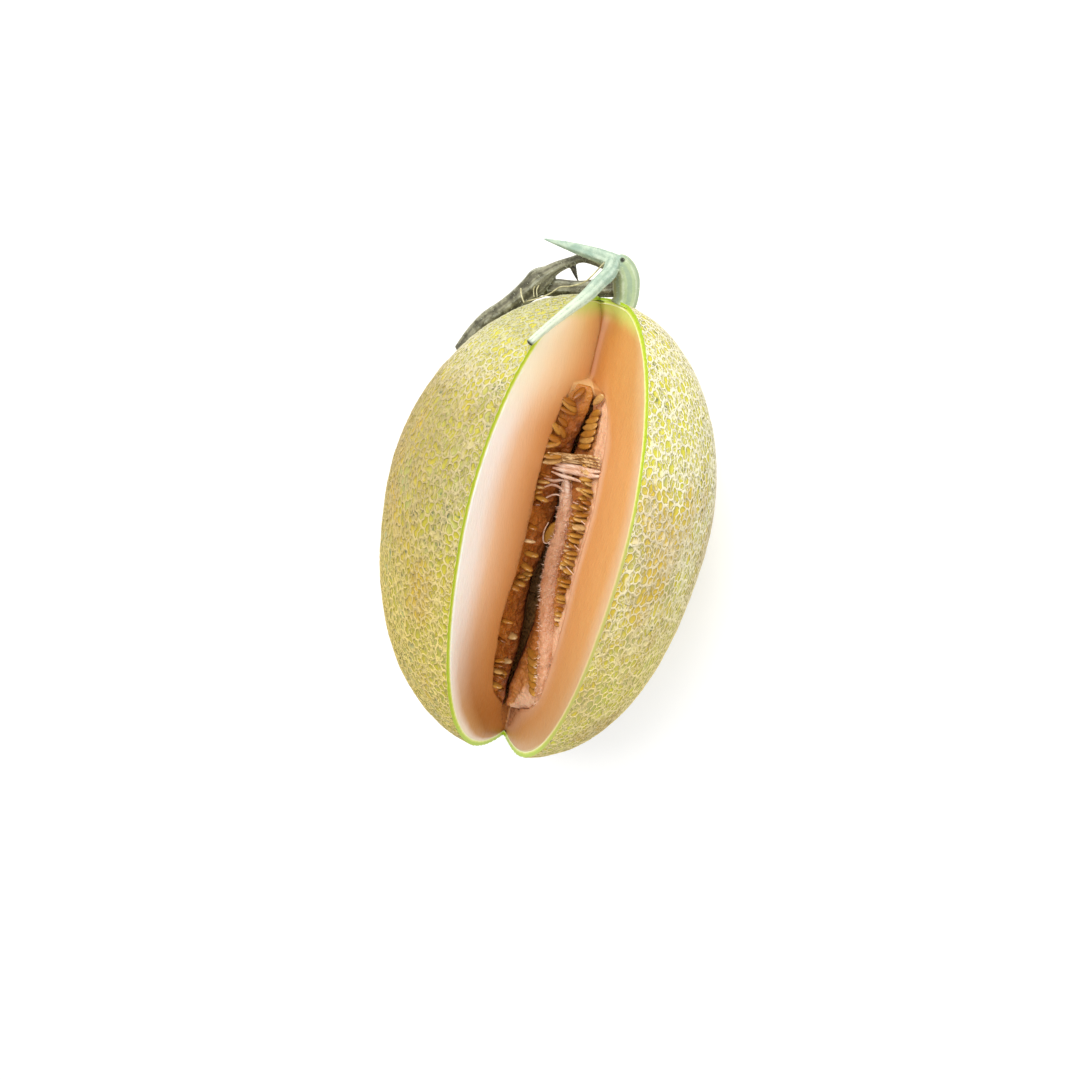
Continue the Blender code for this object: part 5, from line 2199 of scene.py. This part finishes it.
@dataclass
class VineStem:
    """The stalk, the cut arms of vine and the longer arm that bends down behind."""

    form: MelonForm
    finish: Material
    voxel: float = 0.00046
    rib_count: int = 6
    bars: tuple[tuple[str, float, float, tuple[Row, ...]], ...] = (
        ("stalk", 0.12, 0.06, (
            (0.0094, 0.0962, -0.0090, 0.0056), (0.0104, 0.0992, -0.0096, 0.0052),
            (0.0102, 0.1020, -0.0097, 0.0054), (0.0094, 0.1055, -0.0096, 0.0057),
            (0.0082, 0.1095, -0.0092, 0.0055), (0.0056, 0.1132, -0.0086, 0.0048),
            (0.0020, 0.1150, -0.0080, 0.0038))),
        ("left_arm", 0.05, 0.09, (
            (0.0050, 0.1135, -0.0080, 0.0040), (-0.0050, 0.1153, -0.0085, 0.0031),
            (-0.0170, 0.1160, -0.0100, 0.0021), (-0.0310, 0.1164, -0.0120, 0.0004))),
        ("front_arm", 0.0, 0.07, (
            (0.0012, 0.1145, -0.0070, 0.0032), (0.0008, 0.1104, 0.0020, 0.0031),
            (-0.0024, 0.1057, 0.0100, 0.0029), (-0.0054, 0.1010, 0.0180, 0.0027),
            (-0.0116, 0.0939, 0.0290, 0.0021), (-0.0170, 0.0875, 0.0370, 0.0017),
            (-0.0224, 0.0803, 0.0420, 0.0015))),
        ("upper_strand", 0.8, 0.06, (
            (0.0010, 0.1130, -0.0090, 0.0030), (-0.0115, 0.1125, -0.0150, 0.0020),
            (-0.0180, 0.1089, -0.0180, 0.0022), (-0.0234, 0.1050, -0.0180, 0.0028),
            (-0.0288, 0.0991, -0.0180, 0.0042))),
        ("lower_strand", 1.0, 0.06, (
            (0.0045, 0.1046, -0.0130, 0.0048), (0.0010, 0.1030, -0.0140, 0.0044),
            (-0.0065, 0.1002, -0.0170, 0.0036), (-0.0127, 0.0984, -0.0190, 0.0034),
            (-0.0194, 0.0971, -0.0200, 0.0036), (-0.0250, 0.0960, -0.0200, 0.0040),
            (-0.0292, 0.0972, -0.0190, 0.0046))),
        ("vine", 0.9, 0.07, (
            (-0.0250, 0.1030, -0.0180, 0.0034), (-0.0288, 0.0985, -0.0185, 0.0058),
            (-0.0318, 0.0942, -0.0186, 0.0054), (-0.0356, 0.0893, -0.0195, 0.0048),
            (-0.0411, 0.0822, -0.0230, 0.0048), (-0.0489, 0.0741, -0.0275, 0.0046),
            (-0.0550, 0.0652, -0.0320, 0.0042), (-0.0605, 0.0550, -0.0350, 0.0034))),
        ("dry_spike", 1.3, 0.0, (
            (-0.0169, 0.1090, -0.0178, 0.0018), (-0.0148, 0.1055, -0.0180, 0.0011),
            (-0.0124, 0.1020, -0.0180, 0.0003))),
    )
    # Dark spots: the first paints the shade in the pit on the stalk's top, the second darkens the
    # front arm's tip.
    dark_spots: tuple[Row, ...] = (
        (0.0048, 0.1163, -0.0050, 0.0018), (-0.0226, 0.0797, 0.0421, 0.0032))
    steps: int = 12
    sides: int = 30
    body: Item | None = None

    def build(self) -> None:
        """Make the stem as one body and carry the ribs' and ages' values over to it."""
        bars = []
        guides = []
        for name, age, depth, rows in self.bars:
            course = smooth_course(rows, self.steps)
            course[:, 2] += self.form.axis_height
            item, rib = self.bar(name, course, depth)
            bars.append(item)
            places = places_of(item.data)
            guides.extend((place, age, value) for place, value in zip(places, rib))
        item = join_items("stem_bars", bars)
        remesh = item.modifiers.new("Fuse", "REMESH")
        remesh.mode = "VOXEL"
        remesh.voxel_size = self.voxel
        remesh.use_smooth_shade = True
        relax = item.modifiers.new("Relax", "SMOOTH")
        relax.factor = 0.5
        relax.iterations = 2
        bake_modifiers(item)
        item.name = "stem_and_vine"
        self.colour(item, guides)
        item.data.materials.clear()
        item.data.materials.append(self.finish)
        finish_piece(item, ["stem"])
        self.body = item

    def bar(self, name: str, course: Array, depth: float) -> tuple[Item, Array]:
        """Make one ribbed bar of vine along a course.

        Args:
            name: Name of the bar.
            course: Point and radius at each step.
            depth: Depth of the ribs, as a share of the radius.

        Returns:
            The bar and the rib's height, from 0 to 1, at each of its points.
        """
        turns = full_turn(self.sides)
        ribs = 0.5 + 0.5 * np.cos(self.rib_count * turns)
        spoke = None
        loops = []
        for row, forward in zip(course, headings(course)):
            if spoke is None:
                spoke = forward.orthogonal()
            spoke = (spoke - forward * spoke.dot(forward)).normalized()
            other = forward.cross(spoke)
            reach = row[3] * (1.0 - depth + 2.0 * depth * ribs)
            loops.append(row[:3] + np.outer(np.cos(turns) * reach, spoke)
                         + np.outer(np.sin(turns) * reach, other))
        item = loft(name, np.array(loops))
        values = np.append(np.tile(ribs, len(course)), (0.5, 0.5))
        return item, values

    def colour(self, item: Item, guides: Sequence[tuple]) -> None:
        """Store the rib's height, the age of the nearest bar and the nearness of the painted dark
        spots on each point.

        Args:
            item: The fused stem.
            guides: Place, age and rib height of the bars.
        """
        tree = kdtree.KDTree(len(guides))
        for index, (place, _, _) in enumerate(guides):
            tree.insert(Vector(place), index)
        tree.balance()
        ages = []
        ribs = []
        spots = [(Vector((x, y, z + self.form.axis_height)), reach)
                 for x, y, z, reach in self.dark_spots]
        dark = []
        for vert in item.data.vertices:
            near = tree.find_n(vert.co, 3)
            ages.append(sum(guides[index][1] for _, index, _ in near) / 3.0)
            ribs.append(sum(guides[index][2] for _, index, _ in near) / 3.0)
            dark.append(max(max(0.0, 1.0 - (vert.co - spot).length / reach)
                            for spot, reach in spots))
        store(item.data, "age", np.array(ages))
        store(item.data, "rib", np.array(ribs))
        store(item.data, "dark", np.array(dark))


@dataclass
class FineHairs:
    """Short hairs scattered over a finished piece."""

    finish: Material
    length: float
    radius: float
    density: float
    lean: Triple = (0.7, 0.7, 3.0)
    scale: tuple[float, float] = (0.4, 1.2)
    seed: int = 4

    def tree(self) -> GeometryTree:
        """Build the tree that scatters thin spikes over a surface.

        Returns:
            The tree.
        """
        steps = GeometryTree("fine_hairs", (
            ("Hair Length", "NodeSocketFloat"), ("Hair Radius", "NodeSocketFloat"),
            ("Density", "NodeSocketFloat"), ("Seed", "NodeSocketInt"),
            ("Finish", "NodeSocketMaterial")))
        source = steps.source.outputs
        points = steps.add("GeometryNodeDistributePointsOnFaces", Mesh=source["Geometry"],
                           Density=source["Density"], Seed=source["Seed"])
        spike = steps.add("GeometryNodeMeshCone", {"fill_type": "NONE"}, Vertices=3,
                          Radius_Top=0.0, Radius_Bottom=source["Hair Radius"],
                          Depth=source["Hair Length"])
        lean = steps.add("FunctionNodeRandomValue", {"data_type": "FLOAT_VECTOR"},
                         Min=tuple(-turn for turn in self.lean), Max=self.lean,
                         Seed=source["Seed"])
        bend = steps.add("FunctionNodeEulerToRotation", Euler=lean.outputs[0])
        turned = steps.add("FunctionNodeRotateRotation", {"rotation_space": "LOCAL"},
                           Rotation=points.outputs["Rotation"], Rotate_By=bend.outputs[0])
        size = steps.add("FunctionNodeRandomValue", {"data_type": "FLOAT"}, Min=self.scale[0],
                         Max=self.scale[1], Seed=source["Seed"])
        planted = steps.add("GeometryNodeInstanceOnPoints", Points=points.outputs[0],
                            Instance=spike.outputs[0], Rotation=turned.outputs[0],
                            Scale=size.outputs[1])
        real = steps.add("GeometryNodeRealizeInstances", Geometry=planted.outputs[0])
        steps.end(real.outputs[0], source["Finish"])
        return steps

    def build(self, name: str, body: Item, nodes: Sequence[str], slot: str) -> None:
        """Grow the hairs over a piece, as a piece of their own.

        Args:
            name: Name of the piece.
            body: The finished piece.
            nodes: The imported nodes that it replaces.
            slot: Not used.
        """
        item = add_item(name, body.data.copy())
        self.tree().apply(item, {
            "Hair Length": self.length, "Hair Radius": self.radius, "Density": self.density,
            "Seed": self.seed, "Finish": self.finish})
        finish_piece(item, nodes)


@dataclass
class Strands:
    """Thin tubes along smooth courses, given as rows of place and radius in mm."""

    form: MelonForm
    name: str
    node: str
    slot: str
    finish: Material
    courses: tuple[tuple[Row, ...], ...]
    steps: int = 8
    sides: int = 7
    aside: Triple = (0.31, 0.17, 0.94)

    def build(self) -> None:
        """Make all the strands as one piece."""
        turns = full_turn(self.sides)
        tubes = []
        for rows in self.courses:
            course = smooth_course(rows, self.steps) * MILLIMETRE
            course[:, 2] += self.form.axis_height
            loops = []
            for row, forward in zip(course, headings(course)):
                spoke = forward.cross(Vector(self.aside)).normalized()
                other = forward.cross(spoke)
                loops.append(row[:3] + row[3] * (np.outer(np.cos(turns), spoke)
                                                 + np.outer(np.sin(turns), other)))
            tubes.append(loft(self.name, np.array(loops)))
        item = join_items(self.name, tubes)
        item.data.materials.append(self.finish)
        finish_piece(item, [self.node])


# Stage


@dataclass(frozen=True)
class Stage:
    """Floor, soft light and the camera."""

    camera_place: Triple = (0.01135, 0.14867, 0.49875)
    camera_turn: Triple = (-20.259, 6.547, 13.127)
    camera_lens: float = 32.01
    room_strength: float = 0.62
    floor_reach: float = 6.0
    aim: Triple = (0.0, 0.0, 0.07)

    def build(self) -> None:
        """Set up the stage."""
        self.floor()
        bpy.context.scene.view_settings.view_transform = "Standard"
        self.light("key", (-0.50, 0.80, 1.10), 0.8, 17.0, (1.0, 0.985, 0.96))
        self.light("fill", (0.85, 0.25, 1.0), 1.1, 6.0, (0.97, 0.985, 1.0))
        world = bpy.data.worlds.new("soft_room")
        world.use_nodes = True
        room = world.node_tree.nodes["Background"].inputs
        room["Color"].default_value = (1.0, 1.0, 1.0, 1.0)
        room["Strength"].default_value = self.room_strength
        bpy.context.scene.world = world
        camera = add_item("camera", bpy.data.cameras.new("camera"))
        camera.location = self.camera_place
        camera.rotation_euler = [math.radians(turn) for turn in self.camera_turn]
        camera.data.lens = self.camera_lens
        camera.data.sensor_width = 36.0
        camera.data.clip_start = 0.01
        bpy.context.scene.camera = camera

    def floor(self) -> None:
        """Lay the floor under the melon."""
        corners = self.floor_reach * np.array(((-1, -1, 0), (1, -1, 0), (1, 1, 0), (-1, 1, 0)))
        item = mesh_object("pale_floor", corners, [(0, 1, 2, 3)])
        item.data.materials.append(StageFinish().build())

    def light(self, name: str, place: Triple, size: float, power: float, colour: Triple) -> None:
        """Hang one soft square light that looks at the melon.

        Args:
            name: Name of the light.
            place: Where it hangs.
            size: Length of its sides.
            power: Its power in watts.
            colour: Its colour.
        """
        lamp = bpy.data.lights.new(name, "AREA")
        lamp.shape = "SQUARE"
        lamp.size = size
        lamp.energy = power
        lamp.color = colour
        item = add_item(name, lamp)
        item.location = place
        aim = Vector(self.aim) - Vector(place)
        item.rotation_euler = aim.to_track_quat("-Z", "Y").to_euler()


PULP_STRANDS = (
    ((-2.6, 24.2, 6.6, 0.5), (2.0, 23.4, 3.3, 1.3), (8.3, 24.2, 4.0, 1.4), (14.0, 27.0, 13.6, 1.2),
     (18.4, 30.2, 22.0, 0.5)),
    ((-2.6, 22.0, 6.2, 0.4), (2.0, 21.4, 3.3, 1.4), (8.3, 22.0, 4.1, 1.5), (14.0, 24.8, 13.8, 1.3),
     (18.4, 28.2, 22.3, 0.6)),
    ((-2.6, 20.0, 6.0, 0.3), (2.6, 18.4, 3.0, 0.9), (8.0, 18.5, 4.0, 0.8), (13.0, 20.5, 12.0, 0.4)),
    ((1.6, 21.5, 3.0, 0.5), (4.2, 17.5, 1.0, 1.1), (6.2, 13.0, 0.8, 1.5), (7.2, 8.0, 1.5, 1.6)),
    ((-5.0, 12.0, 8.0, 0.3), (-1.0, 13.0, 3.0, 0.7), (3.0, 11.5, 0.0, 0.6), (6.0, 9.5, 1.0, 0.4)),
    ((-5.0, 17.0, 8.5, 0.3), (-0.5, 15.0, 3.0, 0.8), (3.5, 15.5, 0.0, 0.6), (6.0, 12.0, 0.5, 0.4)),
    ((-4.5, 4.0, 7.0, 0.25), (-1.0, 7.0, 2.0, 0.45), (3.0, 8.0, 0.0, 0.4), (6.5, 6.0, 2.0, 0.3)),
    ((1.6, -6.0, 1.0, 0.25), (0.6, -11.0, 1.0, 0.35), (1.4, -16.0, 0.5, 0.35),
     (3.6, -16.5, 0.5, 0.3), (6.0, -12.5, 2.0, 0.25)),
    ((10.4, 8.0, 4.5, 0.4), (13.0, 9.5, 11.0, 0.35), (17.0, 11.5, 20.5, 0.25)),
    ((11.0, 3.0, 7.0, 0.4), (13.5, 4.0, 12.0, 0.35), (18.0, 5.5, 23.0, 0.25)),
    ((11.5, -9.0, 8.5, 0.4), (14.5, -8.0, 14.5, 0.35), (18.5, -6.5, 24.5, 0.25)),
    ((12.0, -20.0, 9.5, 0.4), (15.0, -19.0, 17.0, 0.35), (19.0, -18.0, 26.5, 0.25)),
)

SEED_FIBRES = (
    ((-6.0, 29.8, 11.4, 0.3), (0.5, 29.2, 6.0, 0.7), (7.0, 30.2, 5.5, 0.6), (12.5, 32.8, 10.8, 0.5),
     (17.0, 35.4, 20.0, 0.3)),
    ((-5.0, 28.6, 10.0, 0.4), (1.0, 28.0, 5.2, 0.9), (7.5, 29.0, 5.2, 0.8), (13.0, 31.4, 11.9, 0.6),
     (17.4, 34.2, 21.0, 0.3)),
    ((-4.4, 27.4, 9.4, 0.3), (1.5, 26.7, 4.6, 0.6), (8.0, 27.8, 4.8, 0.8), (13.2, 30.3, 12.4, 0.6),
     (17.7, 33.0, 21.8, 0.3)),
    ((-3.4, 26.3, 8.2, 0.3), (2.5, 25.6, 3.9, 0.7), (8.5, 26.6, 4.3, 0.5), (13.5, 29.2, 12.9, 0.5),
     (18.0, 31.9, 22.4, 0.3)),
    ((1.0, 26.0, 5.4, 0.4), (6.0, 28.8, 6.3, 0.45), (11.0, 31.8, 9.6, 0.4), (15.6, 34.6, 17.5, 0.3)),
)

TENDRILS = (
    ((-2.5, 113.5, -4.0, 0.30), (-6.3, 106.8, -5.0, 0.34), (-9.0, 103.3, -7.0, 0.34),
     (-14.5, 99.9, -10.0, 0.34), (-19.1, 98.2, -12.0, 0.32), (-22.5, 94.9, -8.0, 0.30),
     (-26.1, 92.6, -4.0, 0.28), (-31.4, 89.8, -3.0, 0.22)),
    ((-35.9, 93.6, -10.0, 0.40), (-34.6, 91.2, -7.0, 0.36), (-32.5, 89.1, -3.0, 0.28)),
    ((-28.6, 96.4, -13.0, 0.30), (-28.9, 94.6, -11.0, 0.26), (-27.5, 92.6, -5.0, 0.2)),
    ((-30.4, 95.6, -13.0, 0.30), (-30.2, 94.0, -11.0, 0.26), (-28.9, 92.0, -6.0, 0.2)),
)


def main() -> None:
    """Build the melon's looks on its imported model."""
    logging.basicConfig(level=logging.INFO, format="%(message)s")
    form = MelonForm()
    wedge = WedgeCut(form)
    cavity = SeedCavity(wedge)
    grain = grain_group()
    Stage().build()
    NettedRind(form, wedge, NetSkinFinish(grain).build(), RindEdgeFinish().build()).build()
    Flesh(form, wedge, cavity, FleshFinish(grain).build()).build()
    shadow = (0.34, 0.10, 0.015)
    # Both beds darken to near black towards the slit: painted shade in the slit.
    brown = PulpFinish(grain, "brown_pulp", (
        (0.0, (0.72, 0.33, 0.07)), (0.14, (0.66, 0.27, 0.035)), (0.45, (0.56, 0.20, 0.02)),
        (0.75, (0.48, 0.15, 0.025)), (0.94, (0.10, 0.012, 0.006))), shadow).build()
    blush = PulpFinish(grain, "blush_pulp", (
        (0.0, (0.88, 0.56, 0.36)), (0.22, (0.87, 0.55, 0.35)), (0.46, (0.64, 0.29, 0.09)),
        (0.75, (0.54, 0.19, 0.035)), (0.94, (0.10, 0.012, 0.006))), shadow).build()
    pale = PulpFinish(grain, "pale_pulp", (
        (0.0, (0.84, 0.54, 0.36)), (0.30, (0.76, 0.44, 0.27)), (0.50, (0.60, 0.30, 0.16)),
        (1.0, (0.66, 0.38, 0.22))), (0.52, 0.22, 0.09)).build()
    fibre = StrandFinish("seed_fibre", (0.80, 0.58, 0.30), (0.36, 0.17, 0.04)).build()
    strand = StrandFinish("pulp_strand", (0.92, 0.72, 0.58), (0.76, 0.46, 0.30)).build()
    hair = StrandFinish("stem_hair", (0.80, 0.86, 0.70), (0.62, 0.68, 0.50)).build()
    straw = StrandFinish("dry_tendril", (0.62, 0.58, 0.34), (0.42, 0.38, 0.20)).build()
    seeds = SeedPlanter(SeedFinish(grain).build())
    slit = SlitCourse(wedge)
    ridge = PulpRidge(wedge, pale)
    rows = {Side.LEFT: ((0.12, 0.34, 5.0, -0.098, 0.024), (0.34, 0.30, 14.0, -0.098, -0.020),
                        (0.58, 0.26, 20.0, -0.098, -0.030)),
            Side.RIGHT: ((0.22, 1.4, 4.0, -0.052, 0.028), (0.40, 1.4, 6.0, -0.060, 0.028))}
    bands = {Side.LEFT: ((0.0, 0.03), (0.1, 0.03)),
             Side.RIGHT: ((-0.104, 0.75), (-0.090, 0.55), (-0.078, 0.28), (-0.056, 0.28),
                          (-0.036, 0.10), (0.015, 0.10), (0.030, 0.35), (0.050, 0.50))}
    pulps = {Side.LEFT: brown, Side.RIGHT: blush}
    for side in Side:
        SeedBed(side, wedge, cavity, slit, ridge, pulps[side], seeds, rows[side],
                bands[side]).build()
    LooseSeeds(form, seeds).build()
    ridge.build()
    FineHairs(strand, 0.0018, 0.00022, 3.0e5).build("ridge_tufts", ridge.body, ["placenta"],
                                                    "pale_pulp")
    Strands(form, "pulp_strands", "placenta", "pale_pulp", strand, PULP_STRANDS).build()
    Strands(form, "seed_fibres", "seeds_right", "seeds", fibre, SEED_FIBRES).build()
    stem = VineStem(form, StemFinish(grain).build())
    stem.build()
    FineHairs(hair, 0.0013, 0.00007, 1.6e5).build("stem_hairs", stem.body, ["stem"], "green_stem")
    Strands(form, "tendrils", "stem", "green_stem", straw, TENDRILS).build()


if __name__ == "__main__":
    main()
